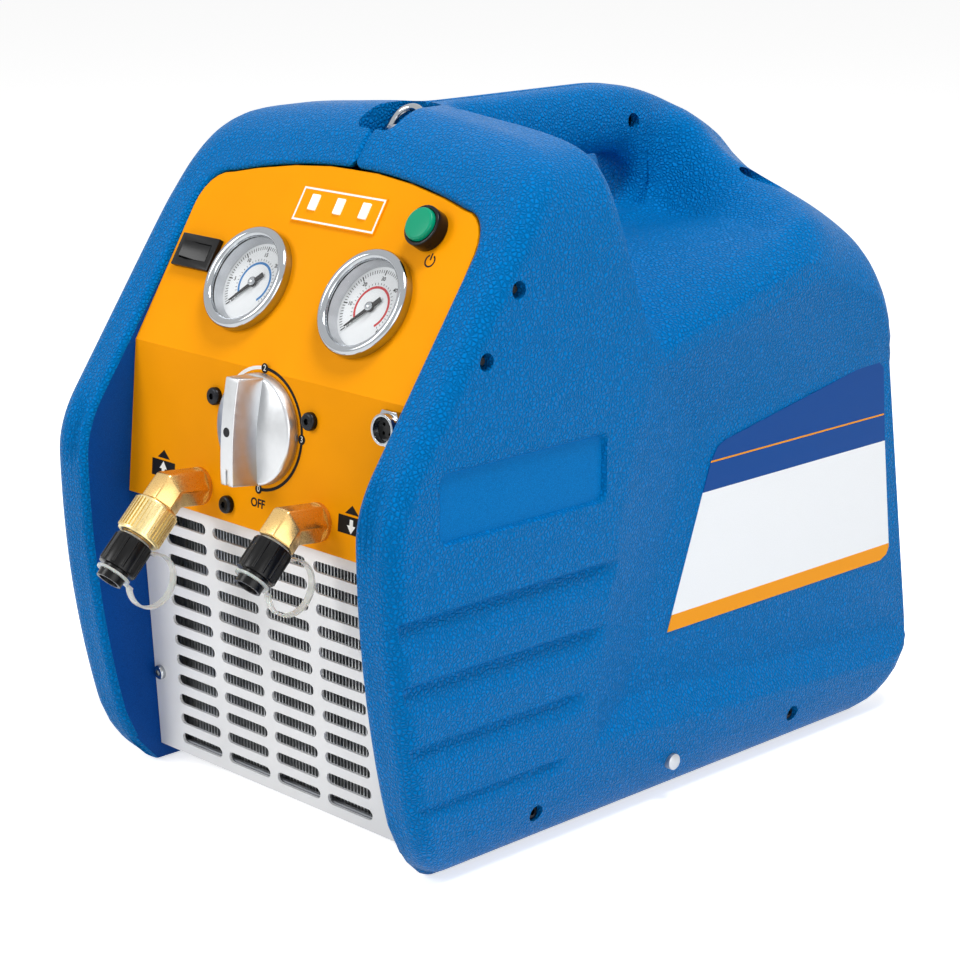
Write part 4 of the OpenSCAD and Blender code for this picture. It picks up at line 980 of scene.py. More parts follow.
def skin_grid(u):
    """Points of the skin from the front lip over the outside to the rear lip [station, row, xyz]."""
    hood = np.full_like(u, HOOD_Y)
    x, z = skin(u, hood)
    nx, nz = skin_normal(u, hood)
    r = mix(RIM_ROUND, HOOD_ROUND, np.clip((u - ROOF_ROW) / 5, 0, 1))
    r = np.minimum(r, RIM_SHARE * wall_thickness(u, np.full_like(u, FRONT)))
    rim = []
    for t in EDGE_SHARES:
        px, pz = x - nx * sink(r, t), z - nz * sink(r, t)
        rim.append((px, front_y(pz) + r * t, pz))
    front_lip = lip(u, True)
    outside = [*front_lip, *band(front_lip[-1], rim[0], front_y), *rim]
    r = np.minimum(REAR_ROUND, REAR_SHARE * wall_thickness(u, np.full_like(u, REAR - REAR_ROUND)))
    end = rear_y(skin(u, np.full_like(u, REAR - REAR_ROUND))[1]) - r
    for _ in range(3):
        end = rear_y(skin(u, end)[1]) - r
    stations = [mix(rim[-1][1], HOOD_Y, t) for t in np.linspace(0, 1, FRONT_STEPS)[1:]]
    stations += [np.full_like(u, y) for y in np.linspace(HOOD_Y, TAIL_START, MIDDLE_STEPS)[1:]]
    stations += [mix(TAIL_START, end, t) for t in np.linspace(0, 1, REAR_STEPS)[1:]]
    for y in stations:
        px, pz = skin(u, y)
        outside.append((px, y, pz))
    for t in EDGE_SHARES[-2::-1]:
        y = end + r * (1 - t)
        px, pz = skin(u, y)
        nx, nz = skin_normal(u, y)
        px, pz = px - nx * sink(r, t), pz - nz * sink(r, t)
        outside.append((px, rear_y(pz) - r * t, pz))
    rear_lip = lip(u, False)[::-1]
    outside += [*band(outside[-1], rear_lip[0], rear_y), *rear_lip]
    grid = np.array(outside).transpose(0, 2, 1)
    face = len(front_lip) + len(BAND_SHARES)
    sides = grid[face : len(grid) - face]
    px, py, pz = sides[..., 0], sides[..., 1], sides[..., 2]
    relief = np.maximum(np.maximum(pocket_depth(py, pz), board_depth(py, pz)), plate_depth(py, pz))
    cut = soft_min(px, HALF_W - relief, 0.6)
    sides[..., 0] = np.where((u < ROOF_ROW + 2) & (relief > 0), np.minimum(px, cut), px)
    return grid


def ceiling_z(y):
    """Top of the cavity along its length."""
    slope = (OPEN_TOP - BACK_TOP) / (CEILING_Y - HOOD_Y + 8)
    front = np.minimum(OPEN_TOP, OPEN_TOP - slope * (y - HOOD_Y + 8))
    return np.where(y > CEILING_Y, BACK_TOP - BACK_FALL * (y - CEILING_Y), front)


def inner_outline(u, y):
    """Point and normal of the cavity wall at row u and length y, rows matched to the skin's."""
    back = smooth(HOOD_Y - 8, CEILING_Y, y)
    corner, crown = mix(OPEN_CORNER, 3, back), mix(OPEN_CROWN, 0, back)
    top = ceiling_z(y)
    spring = top - crown - corner
    side = np.clip(u / ROOF_ROW, 0, 1)
    roof = np.clip((u - ROOF_ROW) / (LAST_ROW - ROOF_ROW), 0, 1)
    turn_end = 0.35
    a = np.clip(roof / turn_end, 0, 1) * math.pi / 2
    run = np.clip((roof - turn_end) / (1 - turn_end), 0, 1)
    flat = INNER_W - corner
    x = np.where(run > 0, flat * (1 - run), flat + corner * np.cos(a))
    z = np.where(run > 0, top - crown * (1 - run) ** 2, spring + corner * np.sin(a))
    z = np.where(u <= ROOF_ROW, mix(FOOT_ROWS[0][1], spring, side), z)
    return x, z, np.cos(a), np.sin(a)


def wall_grid(u, first, last):
    """Points of the cavity wall between its two lips [station, row, xyz]."""
    grid = []
    for t in np.linspace(0, 1, WALL_STATIONS)[1:-1]:
        y = mix(first, last, t)
        px, pz, nx, nz = inner_outline(u, y)
        grid.append((px, y, pz))
    return np.array(grid).transpose(0, 2, 1)


def bridge(a, b, at_a, at_b):
    """Triangles between two rows of point numbers, matched by their places along the row."""
    faces = []
    i = j = 0
    while i < len(a) - 1 or j < len(b) - 1:
        along_a = j == len(b) - 1 or (i < len(a) - 1 and at_a[i + 1] <= at_b[j + 1])
        faces.append((a[i], a[i + 1], b[j]) if along_a else (a[i], b[j + 1], b[j]))
        i, j = (i + 1, j) if along_a else (i, j + 1)
    return faces


def grid_faces(numbers):
    """Quads of a grid of point numbers."""
    a, b, c, d = numbers[:-1, :-1], numbers[1:, :-1], numbers[1:, 1:], numbers[:-1, 1:]
    return np.stack([a, b, c, d], -1).reshape(-1, 4).tolist()


def half_shell_mesh(seam):
    """The right half shell as a closed mesh, before its openings are cut."""
    u = row_steps()
    coarse = u[::WALL_EVERY]
    outer = skin_grid(u)
    wall = wall_grid(coarse, outer[0, ::WALL_EVERY, 1], outer[-1, ::WALL_EVERY, 1])
    outer[:, -1, 0] = 0
    wall[:, -1, 0] = 0
    # The seam is a groove along the parting line, sunk square to the surface there
    along_y, along_z = np.gradient(outer[:, -1, 1]), np.gradient(outer[:, -1, 2])
    size = np.hypot(along_y, along_z) + 1e-9
    dip = seam * np.clip(1 - outer[:, -4:, 0] / SEAM_HALF, 0, 1)
    outer[:, -4:, 1] += dip * (along_z / size)[:, None]
    outer[:, -4:, 2] -= dip * (along_y / size)[:, None]
    # Rounded corners of the two shells leave a notch in the lip of the hood
    fade = np.clip(1 - np.arange(len(outer)) / NOTCH_STATIONS, 0, 1)[:, None]
    outer[..., 2] += NOTCH * fade * np.clip(1 - outer[..., 0] / NOTCH_HALF, 0, 1) ** 1.5
    skin_numbers = np.arange(outer[..., 0].size).reshape(outer.shape[:2])
    wall_numbers = skin_numbers.size + np.arange(wall[..., 0].size).reshape(wall.shape[:2])
    faces = grid_faces(skin_numbers) + grid_faces(wall_numbers)
    for end in (0, -1):
        faces += bridge(skin_numbers[end], wall_numbers[end], u, coarse)
    ends = [(outer[0, 0, 1], outer[-1, 0, 1]), (outer[0, -1, 1], outer[-1, -1, 1])]
    for row, (first, last) in zip((0, -1), ends):
        at_skin = np.clip(np.maximum.accumulate(outer[:, row, 1]), first, last)
        inside = [skin_numbers[0, row], *wall_numbers[:, row], skin_numbers[-1, row]]
        at_wall = [first, *wall[:, row, 1], last]
        faces += bridge(skin_numbers[:, row], inside, at_skin, at_wall)
    points = np.concatenate([outer.reshape(-1, 3), wall.reshape(-1, 3)])
    faces = [f for f in faces if len(set(f)) == len(f)]
    return mesh_from("half_shell", points, faces)


GRIP_FLARE = 9
GRIP_END_R = GRIP_H / 2 - 2.5
# Places across the handle where the outline of the hand opening is set
GRIP_STATIONS = (-3, 0, 8, 10, 12, 13.5, 14.8, 15.8, 16.5, 17, 19, 26, 40)


def grip_cutter():
    """Hand opening whose edges flare out to the handle's sides, so that they come out rounded."""
    rings = []
    for x in GRIP_STATIONS:
        share = min(max((x - (HANDLE_HALF - GRIP_FLARE)) / GRIP_FLARE, 0), 1)
        out = GRIP_FLARE * (1 - math.sqrt(1 - share * share))
        y0, y1 = GRIP_Y[0] - out, GRIP_Y[1] + out
        z0 = GRIP_FLOOR
        z1 = GRIP_FLOOR + GRIP_H - GRIP_BELLY + out * (1 + GRIP_BELLY / GRIP_FLARE)
        low, high = GRIP_END_R, GRIP_END_R + out * 0.5
        corners = (
            (y1 - high, z1 - high, high, 0),
            (y0 + high, z1 - high, high, 90),
            (y0 + low, z0 + low, low, 180),
            (y1 - low, z0 + low, low, 270),
        )
        ring = []
        for cy, cz, r, start in corners:
            for step in range(9):
                a = math.radians(start + step * 90 / 8)
                ring.append((x, cy + r * math.cos(a), cz + r * math.sin(a)))
        rings.append(ring)
    return loft("grip_cutter", rings)


RING_Y = -82
RING_FLOOR = BODY_H - 18
RING_RECESS = (28, 38)
RECESS_CORNER = 6
SCREW_SINK_R = 4.5
SHELL_SHARP = 42
RIM_SCREWS = ((FRONT + 82, BODY_H - 70), (FRONT + 61, BODY_H - 101))
RIM_SCREW_X = HALF_W - 12
TAIL_SCREW = (REAR - 83, float(roof_z(REAR - 83)) - 35)
TAIL_SCREW_X = 39
HANDLE_SCREWS = tuple((y, float(roof_z(y)) - drop) for y, drop in ((-26, 22), (75, 19)))
HANDLE_SCREW_X = HANDLE_HALF - 8
HANDLE_BORE = HANDLE_HALF + 14 - HANDLE_SCREW_X
SIDE_BORE = 30
TAIL_BORE = 60
BASE_SCREWS = ((FRONT + 100, 22), (FRONT + 201, 22), (REAR - 112, 22))
BASE_SCREW_X = HALF_W - 10


def bore_cutter(x, y, z, reach):
    """Counterbore along X, from a screw's seat out through the skin."""
    place = Matrix.Translation((x, y, z)) @ SIDE_TURN
    return moved(plate("bore", circle(SCREW_SINK_R, 28), 0, reach), place)


def recess_cutter():
    """Recess of the carry ring, with round corners."""
    outline = round_box_outline(RING_RECESS[0] / 2, RING_RECESS[1] / 2, RECESS_CORNER)
    return moved(plate("recess", outline, RING_FLOOR, BODY_H + 8), Matrix.Translation((0, RING_Y, 0)))


def cut(mesh, cutters, name):
    """The mesh with the cutters taken away."""
    tool = placed(name + "_tool", joined(name + "_tool", cutters))

    def take_away(holder):
        boolean = holder.modifiers.new("cut", "BOOLEAN")
        boolean.operation = "DIFFERENCE"
        boolean.solver = "MANIFOLD"
        boolean.object = tool

    result = evaluated(mesh, name, take_away)
    bpy.data.objects.remove(tool)
    return result


# Operators


class MACHINE_OT_shells(bpy.types.Operator):
    """Two moulded half shells with pebble grain, rounded rims and an open handle"""

    bl_idname = "machine.shells"
    bl_label = "Half shells"

    def execute(self, context):
        seam = context.scene.machine_sizes.seam / MM
        rows = (
            (RIM_SCREW_X, RIM_SCREWS, SIDE_BORE),
            (BASE_SCREW_X, BASE_SCREWS, SIDE_BORE),
            (HANDLE_SCREW_X, HANDLE_SCREWS, HANDLE_BORE),
            (TAIL_SCREW_X, (TAIL_SCREW,), TAIL_BORE),
        )
        bores = [bore_cutter(x, *spot, reach) for x, spots, reach in rows for spot in spots]
        right = cut(half_shell_mesh(seam), [grip_cutter(), recess_cutter(), *bores], "right_half")
        self.line(right)
        left = mirrored(right)
        self.fields()
        for side, mesh in (("right", right), ("left", left)):
            add_piece(side + "_half_shell", mesh, "case", None, (side + "_shell",), SHELL_SHARP)
        return {"FINISHED"}

    def line(self, mesh):
        """Gives the outside its grain and the cavity a smooth skin whose darker blue is painted shade."""
        mesh.materials.clear()
        mesh.materials.append(FINISHES["shell"])
        mesh.materials.append(FINISHES["lining"])
        centres = np.array([face.center for face in mesh.polygons])
        x, y, z = centres.T
        inside = (x < INNER_W + 0.6) & (z < ceiling_z(y) + 0.6) & (y > front_y(z) + LIP_ROUND)
        mesh.polygons.foreach_set("material_index", inside.astype(np.int32))

    def fields(self):
        """Smooth bare floors of the recesses above the boards."""
        half_y, half_z = ((high - low) / 2 - 1 for low, high in (PLATE_Y, PLATE_Z))
        outline = round_box_outline(half_y, half_z, PLATE_CORNER - 1)
        middle = Matrix.Translation((HALF_W - PLATE_DEEP, sum(PLATE_Y) / 2, sum(PLATE_Z) / 2))
        field = moved(plate("field", outline, -0.4, 0.15), middle @ SIDE_TURN)
        mesh = joined("smooth_fields", [field, mirrored(field)])
        add_piece("smooth_fields", mesh, "case", "bare_shell")


class MACHINE_OT_label(bpy.types.Operator):
    """Plain sticker in the right side's pocket: a blue head, a paper field and an orange foot"""

    bl_idname = "machine.label"
    bl_label = "Side label"

    # Heights of the foot, the paper field, the head and the stripe in it
    FOOT, FIELD, HEAD, STRIPE = 91.5, 100.2, 161.7, 176.8
    STRIPE_H = 0.9
    REAR_FOOT = 98
    THICK = 0.3

    def execute(self, context):
        place = Matrix.Translation((HALF_W - POCKET_DEPTH + 0.05, 0, 0)) @ SIDE_TURN
        front, rear = self.front, self.rear
        corner = [(172, self.FOOT), (177.5, 94), rear(self.REAR_FOOT)]
        top = [(167.5, 204), (163, 208.2), (155, 208.8), (33, 187), (27.5, 184.4)]
        bands = {
            "label_foot": [front(self.FIELD), front(self.FOOT), *corner, rear(self.FIELD)],
            "label_field": [front(self.HEAD), front(self.FIELD), rear(self.FIELD), rear(self.HEAD)],
            "label_head": [front(self.STRIPE), front(self.HEAD), rear(self.HEAD), *top],
        }
        for name, outline in bands.items():
            mesh = moved(plate(name, outline, 0, self.THICK), place)
            add_piece("side_" + name, mesh, "case", name)
        upper = self.STRIPE + self.STRIPE_H
        stripe = [front(self.STRIPE), rear(self.STRIPE), rear(upper), front(upper)]
        mesh = moved(plate("label_stripe", stripe, self.THICK, self.THICK + 0.06), place)
        add_piece("side_label_stripe", mesh, "case", "label_foot")
        return {"FINISHED"}

    def front(self, z):
        """Point of the label's slanted front edge at a height."""
        return (-9 + 0.366 * (z - self.FOOT), z)

    def rear(self, z):
        """Point of the label's rear edge at a height."""
        return (179.6 - 0.128 * (z - self.REAR_FOOT), z)


class MACHINE_OT_panel(bpy.types.Operator):
    """Orange control panel with its printed scale, tags and power sign"""

    bl_idname = "machine.panel"
    bl_label = "Control panel"

    # Lower and upper face of the ink, above the panel
    PRINT = (0.02, 0.12)
    OVERPRINT = (0.12, 0.18)
    SCALE_R = 30.5
    # Number and angle of each mark on the scale
    MARKS = ((0, -90), (1, 180), (2, 90), (3, 0))

    def execute(self, context):
        dress("panel", "control_panel")
        centre = on_lower(0, KNOB_V)
        scale_r = self.SCALE_R
        ring = arc_band("scale_ring", scale_r - 0.8, scale_r + 0.8, -90, 180, *self.PRINT)
        start = arc_band("scale_start", scale_r - 0.9, scale_r + 0.9, 95, 52, *self.PRINT)
        black = [moved(ring, centre)]
        white = [moved(start, centre)]
        for number, angle in self.MARKS:
            a = math.radians(angle)
            spot = on_lower(scale_r * math.cos(a), KNOB_V + scale_r * math.sin(a))
            black.append(moved(plate("mark_disc", circle(2.5, 32), 0.02, 0.16), spot))
            white.append(moved(lettering("mark_number", str(number), 4.4, 0.16, 0.22), spot))
        black.append(moved(lettering("off", "OFF", 6.2, *self.PRINT, 0.16), on_lower(0, KNOB_V - 38)))
        tag = box_outline(-9.5, -4.4, 9.5, 4.4)
        point = [(-5, 5.6), (5, 5.6), (0, 10)]
        for x, way in ((PORT_X[0] - 31, 1), (PORT_X[1] + 24, -1)):
            spot = on_lower(x, PORT_V + 3)
            arrow = [(-1.2, -3 * way), (1.2, -3 * way), (1.2, 0), (3, 0), (0, 4 * way), (-3, 0), (-1.2, 0)]
            black.append(moved(plate("tag", tag, *self.PRINT), spot))
            black.append(moved(plate("tag_point", point, *self.PRINT), spot))
            white.append(moved(plate("tag_arrow", arrow, *self.OVERPRINT), spot))
        sign = on_upper(79.1, 71.6)
        black.append(moved(arc_band("power_sign", 2.6, 3.4, 120, 300, *self.PRINT), sign))
        black.append(moved(plate("power_bar", box_outline(-0.4, 0.4, 0.4, 4), *self.PRINT), sign))
        add_piece("panel_print_black", joined("panel_print_black", black), "case", "ink")
        add_piece("panel_print_white", joined("panel_print_white", white), "case", "white_ink")
        return {"FINISHED"}


class MACHINE_OT_gauges(bpy.types.Operator):
    """Two pressure gauges: turned bezels, printed dials, needles and clear lenses"""

    bl_idname = "machine.gauges"
    bl_label = "Gauges"

    DIAL_TOP = -2.2
    # Count, radius and size of the marks in each ring of ticks
    TICKS = (
        (31, 12.7, (1.1, 0.26, 0.06)),
        (61, 19.2, (1.8, 0.34, 0.06)),
        (7, 18.7, (2.8, 0.62, 0.07)),
    )
    NUMBER_R = 15.4
    NUMBER_STEP = {"low": 5, "high": 10}

    def execute(self, context):
        ticks = tick_tree()
        for k, side in enumerate(("low", "high")):
            place = on_upper(GAUGE_X[k], GAUGE_V)
            self.bezel(side, place)
            self.dial(side, place, ticks)
            dress("black", "gauge_case_" + side)
            dress("ink", "gauge_needle_" + side)
            dress("dial", "gauge_dial_" + side)
            dress("lens", "gauge_lens_" + side)
        return {"FINISHED"}

    def bezel(self, side, place):
        """Rolled chrome ring and the grey wall between the lens and the dial."""
        turns = [math.radians(a) for a in range(0, 181, 12)]
        crest = [(25.3 + 2.7 * math.cos(a), 4.6 + 2.4 * math.sin(a)) for a in turns]
        lip = [(22.5, 4.4), (24.8, 4.3), (24.8, 0)]
        mesh = moved(lathe("bezel", [(28, 0.9), *crest, *lip, (27.2, 0)]), place)
        node = "gauge_bezel_" + side
        add_piece(node + "_turned", mesh, "case", "chrome", (node,))
        mesh = moved(lathe("wall", [(23.1, 2.9), (21.6, -2.15), (23.1, -2.15)]), place)
        add_piece("gauge_wall_" + side, mesh, "case", "zinc")

    def dial(self, side, place, ticks):
        """Ticks, numbers and a coloured arc printed on the dial card."""
        card = place @ Matrix.Translation((0, 0, self.DIAL_TOP))
        values = {"Start": math.radians(-45), "Sweep": math.radians(270), "Finish": FINISHES["ink"]}
        scale = []
        for count, radius, size in self.TICKS:
            ring = grown("ticks", ticks, {**values, "Count": count, "Radius": radius, "Size": size})
            scale.append(moved(ring, Matrix.Translation((0, 0, 0.05))))
        for step in range(7):
            a = math.radians(225 - 45 * step)
            spot = Matrix.Translation((self.NUMBER_R * math.cos(a), self.NUMBER_R * math.sin(a), 0))
            number = lettering("number", str(step * self.NUMBER_STEP[side]), 2.9, 0.02, 0.08, 0.05)
            scale.append(moved(number, spot))
        name = "dial_scale_" + side
        add_piece(name, moved(joined(name, scale), card), "case", "ink")
        name = "dial_arc_" + side
        arc = arc_band(name, 10.2, 11.5, -52, 270, 0.02, 0.08)
        add_piece(name, moved(arc, card), "case", side + "_arc")
        cap = [(0.01, 0.3), (2.3, 0.3), (2.3, 0.9), (1.6, 1.5), (0.01, 1.7)]
        hub = moved(lathe("hub", cap, 32), place @ Matrix.Translation((0, 0, -0.5)))
        add_piece("needle_hub_" + side, hub, side + "_needle", "chrome")


class MACHINE_OT_knob(bpy.types.Operator):
    """Selector knob: a disc with a narrow grip bar, a dot on the bar and a pointer groove"""

    bl_idname = "machine.knob"
    bl_label = "Selector knob"

    def execute(self, context):
        place = on_lower(0, KNOB_V)
        rim = [(KNOB_R, 0.4), (KNOB_R, 5.2), (KNOB_R - 0.5, 6.2), (KNOB_R - 1.6, 6.8)]
        skirt = lathe("skirt", [(0.01, 0.4), *rim, (0.01, 9.4)])
        mesh = moved(joined("knob", [skirt, self.bar()]), place)
        node = "selector_knob"
        add_piece("knob_with_bar", mesh, "selector", "knob", (node,))
        dot = plate("knob_dot", circle(2.4, 32), KNOB_TOP - 0.3, KNOB_TOP + 0.06)
        add_piece("knob_dot", moved(dot, place), "selector", "black_steel")
        return {"FINISHED"}

    def bar(self):
        """Grip bar: narrower and slightly domed at the top, with a pointer groove at one end."""
        foot, crest = 7.5, 4.6
        rings = []
        for y in np.linspace(-KNOB_R + 1, KNOB_R - 1, 25):
            top = KNOB_TOP - 1.8 * (y / KNOB_R) ** 2
            rings.append([(-foot, y, 1), (foot, y, 1), (crest, y, top), (-crest, y, top)])
        outline = box_outline(-0.7, -KNOB_R - 1, 0.7, -KNOB_R + 9)
        groove = plate("groove", outline, KNOB_TOP - 3.2, KNOB_TOP + 2)
        return bevelled(cut(loft("bar", rings), [groove], "bar"), "rounded_bar", 0.9, 3, 30)


class MACHINE_OT_switches(bpy.types.Operator):
    """Power button, breaker and the framed row of indicator lamps"""

    bl_idname = "machine.switches"
    bl_label = "Switches and lamps"

    def execute(self, context):
        softened("power_bezel", "black", 0.6)
        softened("power_button", "button", 0.5)
        softened("breaker_body", "black", 0.5)
        softened("breaker_rocker", "black", 0.4)
        dress("panel", "indicator_frame")
        softened("indicator_lamps", "lamp", 0.4)
        # White line round the lamps
        line = 1.0
        half_x, half_y = 31 - 0.6, 9.75 - 0.6
        inner_x, inner_y = half_x - line, half_y - line
        bars = (
            (-half_x, inner_y, half_x, half_y),
            (-half_x, -half_y, half_x, -inner_y),
            (-half_x, -inner_y, -inner_x, inner_y),
            (inner_x, -inner_y, half_x, inner_y),
        )
        mesh = joined("lamp_outline", [plate("bar", box_outline(*bar), 0.8, 0.95) for bar in bars])
        add_piece("lamp_outline", moved(mesh, on_upper(4, 88.5)), "case", "white_ink")
        return {"FINISHED"}


class MACHINE_OT_fittings(bpy.types.Operator):
    """Brass elbows, the knurled collar, screw caps, their straps and the sensor socket"""

    bl_idname = "machine.fittings"
    bl_label = "Fittings"

    def execute(self, context):
        for side, node in enumerate(("inlet_elbow", "outlet_elbow")):
            dress("brass", node)
            self.bend(side, node + "_bend")
        # The collar's brass is painted paler, a painted highlight on its knurls
        softened("inlet_collar", "painted_highlight_brass", 0.9)
        values = {"Count": 36, "Radius": 11.6, "Size": (1.3, 1.0, 16.5), "Finish": FINISHES["painted_highlight_brass"]}
        knurl = grown("collar_knurl", rib_ring_tree(), values)
        mesh = moved(knurl, on_leg(0, 10.3 + 9.85))
        add_piece("collar_knurl", mesh, "collar", None)
        for node in ("inlet_cap", "outlet_cap"):
            softened(node, "black", 0.5)
        dress("strap", "inlet_tether", "outlet_tether")
        softened("sensor_socket", "chrome", 0.4)
        dress("black", "sensor_insert")
        return {"FINISHED"}

    def bend(self, side, name):
        """Six-sided bar bent sharply from the panel into the outer leg."""
        outline = circle(BEND_AF / 2 / math.cos(math.radians(30)), 6)
        mitre = math.tan(math.radians(DROP_ANGLE / 2))
        foot, leg = on_lower(PORT_X[side], PORT_V), on_leg(side, 10)
        rings = [
            [foot @ Vector((x, y, 2)) for x, y in outline],
            [foot @ Vector((x, y, ELBOW_LEG + y * mitre)) for x, y in outline],
            [leg @ Vector((x, y, 0)) for x, y in outline],
        ]
        mesh = bevelled(loft(name, rings), name, 0.9, 3, 15)
        add_piece(name, mesh, "case", "brass", (), 30)


class MACHINE_OT_sheet_metal(bpy.types.Operator):
    """Slotted grille, rear panel and base pan"""

    bl_idname = "machine.sheet_metal"
    bl_label = "Sheet metal"

    def execute(self, context):
        dress("grille", "rear_panel")
        dress("zinc", "base_pan")
        self.grille()
        softened("rubber_feet", "rubber", 1.2)
        return {"FINISHED"}

    def grille(self):
        """Sheet whose slots lie before the coil, with pressed edges."""
        low, high = node_span("front_grille")
        lean = math.radians(GRILLE_LEAN)
        tall = (high.z - low.z - GRILLE_T * math.sin(lean)) / math.cos(lean)
        sheet = box_outline(low.x, 0, high.x, tall)
        r = SLOT_H / 2
        reach = SLOT_LEN / 2 - r
        turns = np.linspace(-math.pi / 2, math.pi / 2, 9)
        right = [(reach + r * math.cos(a), r * math.sin(a)) for a in turns]
        shape = right + [(-x, -y) for x, y in right]
        slots = [
            plate("slot", [(x + px, v + pv) for px, pv in shape], -3 * GRILLE_T, 2 * GRILLE_T)
            for x in SLOT_X
            for v in SLOT_V
        ]
        pierced = cut(plate("sheet", sheet, -GRILLE_T, 0), slots, "pierced_sheet")
        mesh = moved(bevelled(pierced, "slotted_grille", 0.45, 2, 50), on_grille(0, 0))
        add_piece("slotted_grille", mesh, "case", "grille", ("front_grille",))


class MACHINE_OT_condenser(bpy.types.Operator):
    """Finned condenser behind the grille"""

    bl_idname = "machine.condenser"
    bl_label = "Condenser"

    def execute(self, context):
        low, high = node_span("condenser_fins")
        pitch = context.scene.machine_sizes.fin_pitch / MM
        count = int((high.x - low.x) / pitch) + 1
        size = (0.8, high.y - low.y, high.z - low.z)
        values = {"Pitch": (pitch, 0, 0), "Size": size, "Finish": FINISHES["fin"]}
        stack = stack_tree()
        middle = Vector((0, (low.y + high.y) / 2, (low.z + high.z) / 2))
        edge = (count - 1) * pitch / 2
        fins = grown("fins", stack, {**values, "Count": count})
        fins = moved(fins, Matrix.Translation(middle - Vector((edge, 0, 0))))
        add_piece("fin_stack", fins, "case", None, ("condenser_fins",))
        # The outer fins stand over the return bends, up to the shells
        more = int((INNER_W - 2 - edge) / pitch)
        wings = []
        for start in (-edge - more * pitch, edge + pitch):
            wing = grown("wing", stack, {**values, "Count": more})
            wings.append(moved(wing, Matrix.Translation(middle + Vector((start, 0, 0)))))
        add_piece("fin_wings", joined("fin_wings", wings), "case", "fin")
        dress("tube", "condenser_tubes")
        dress("zinc", "condenser_ends")
        return {"FINISHED"}


def screw_head(radius, height, socket_r, socket_deep):
    """Round head with a domed edge and a six-sided socket, standing on local Z = 0."""
    edge = height * 0.45
    steps = 24
    rows = [(radius, 0)]
    for a in np.linspace(0, math.pi / 2, 5):
        rows.append((radius - edge + edge * math.cos(a), height - edge + edge * math.sin(a)))
    rings = [[(x, y, z) for x, y in circle(r, steps)] for r, z in rows]
    socket = []
    for k in range(steps):
        a = 2 * math.pi * k / steps
        flat = socket_r * math.cos(math.pi / 6) / math.cos((a % (math.pi / 3)) - math.pi / 6)
        socket.append((flat * math.cos(a), flat * math.sin(a)))
    rings += [[(x, y, z) for x, y in socket] for z in (height, height - socket_deep)]
    return loft("screw_head", rings)


class MACHINE_OT_screws(bpy.types.Operator):
    """Screw heads on the panel, the grille and the shells"""

    bl_idname = "machine.screws"
    bl_label = "Screws"

    # Radius and height of each kind of head, radius and depth of its socket
    PANEL_HEAD = (4.6, 3.4, 1.8, 1.2)
    GRILLE_HEAD = (4, 2.4, 1.9, 1.5)
    SIDE_HEAD = (4, 3, 1.9, 1.2)
    RIM_HEAD = (4, 9, 1.9, 1.2)
    PANEL_SPOTS = ((-36.7, -18.7), (36.7, -18.7), (-23, -72), (23, -72))

    def execute(self, context):
        tree = scatter_tree()
        panel = [on_lower(x, v).translation for x, v in self.PANEL_SPOTS]
        turn = (math.radians(90 - LOWER_LEAN), 0, 0)
        heads = self.heads(tree, panel, turn, self.PANEL_HEAD, "black_steel")
        self.seat("panel_screws", heads, "black_steel")
        edge = INNER_W - 5.5
        grille = [on_grille(x, v).translation for x in (-edge, edge) for v in (135, 43)]
        turn = (math.radians(90 + GRILLE_LEAN), 0, 0)
        self.seat("grille_screws", self.heads(tree, grille, turn, self.GRILLE_HEAD, "chrome"), "chrome")
        rim = [(RIM_SCREW_X, *spot) for spot in RIM_SCREWS] + [(TAIL_SCREW_X, *TAIL_SCREW)]
        handle = [(HANDLE_SCREW_X, *spot) for spot in HANDLE_SCREWS]
        base = [(BASE_SCREW_X, *spot) for spot in (BASE_SCREWS[0], BASE_SCREWS[2])]
        self.sides(tree, "rim_screws", rim, self.RIM_HEAD)
        self.sides(tree, "handle_screws", handle, self.SIDE_HEAD)
        self.sides(tree, "base_screws", base, self.SIDE_HEAD)
        # The middle screw of each side lies under a bright plug
        plug = [(0.01, 0), (4.3, 0), (4.3, 8), (3.6, 8.6), (0.01, 9)]
        plugs = []
        for way in (1, -1):
            spot = Matrix.Translation((way * BASE_SCREW_X, *BASE_SCREWS[1]))
            turn = Matrix.Rotation(math.radians(90 * way), 4, "Y")
            plugs.append(moved(lathe("plug", plug, 32), spot @ turn))
        add_piece("base_plugs", joined("base_plugs", plugs), "case", "zinc")
        return {"FINISHED"}

    def seat(self, node, mesh, material):
        """Puts heads in the place of a node of screws."""
        add_piece(node + "_heads", mesh, "case", material, (node,))

    def sides(self, tree, node, spots, sizes):
        """Dark heads that look outwards on both sides of the case."""
        heads = []
        for way in (1, -1):
            turned = [(way * x, y, z) for x, y, z in spots]
            heads.append(self.heads(tree, turned, (0, math.radians(90 * way), 0), sizes, "black_steel"))
        self.seat(node, joined(node + "_heads", heads), "black_steel")

    def heads(self, tree, spots, turn, sizes, material):
        """Screw heads set on a list of spots."""
        shape = placed("head", screw_head(*sizes))
        values = {"Shape": shape, "Turn": turn, "Finish": FINISHES[material]}
        mesh = grown("heads", tree, values, spots)
        bpy.data.objects.remove(shape)
        return mesh


class MACHINE_OT_carry_ring(bpy.types.Operator):
    """Chrome carry ring and its bracket in the hood's recess"""

    bl_idname = "machine.carry_ring"
    bl_label = "Carry ring"

    def execute(self, context):
        dress("chrome", "carry_ring")
        softened("ring_bracket", "zinc", 0.6)
        return {"FINISHED"}


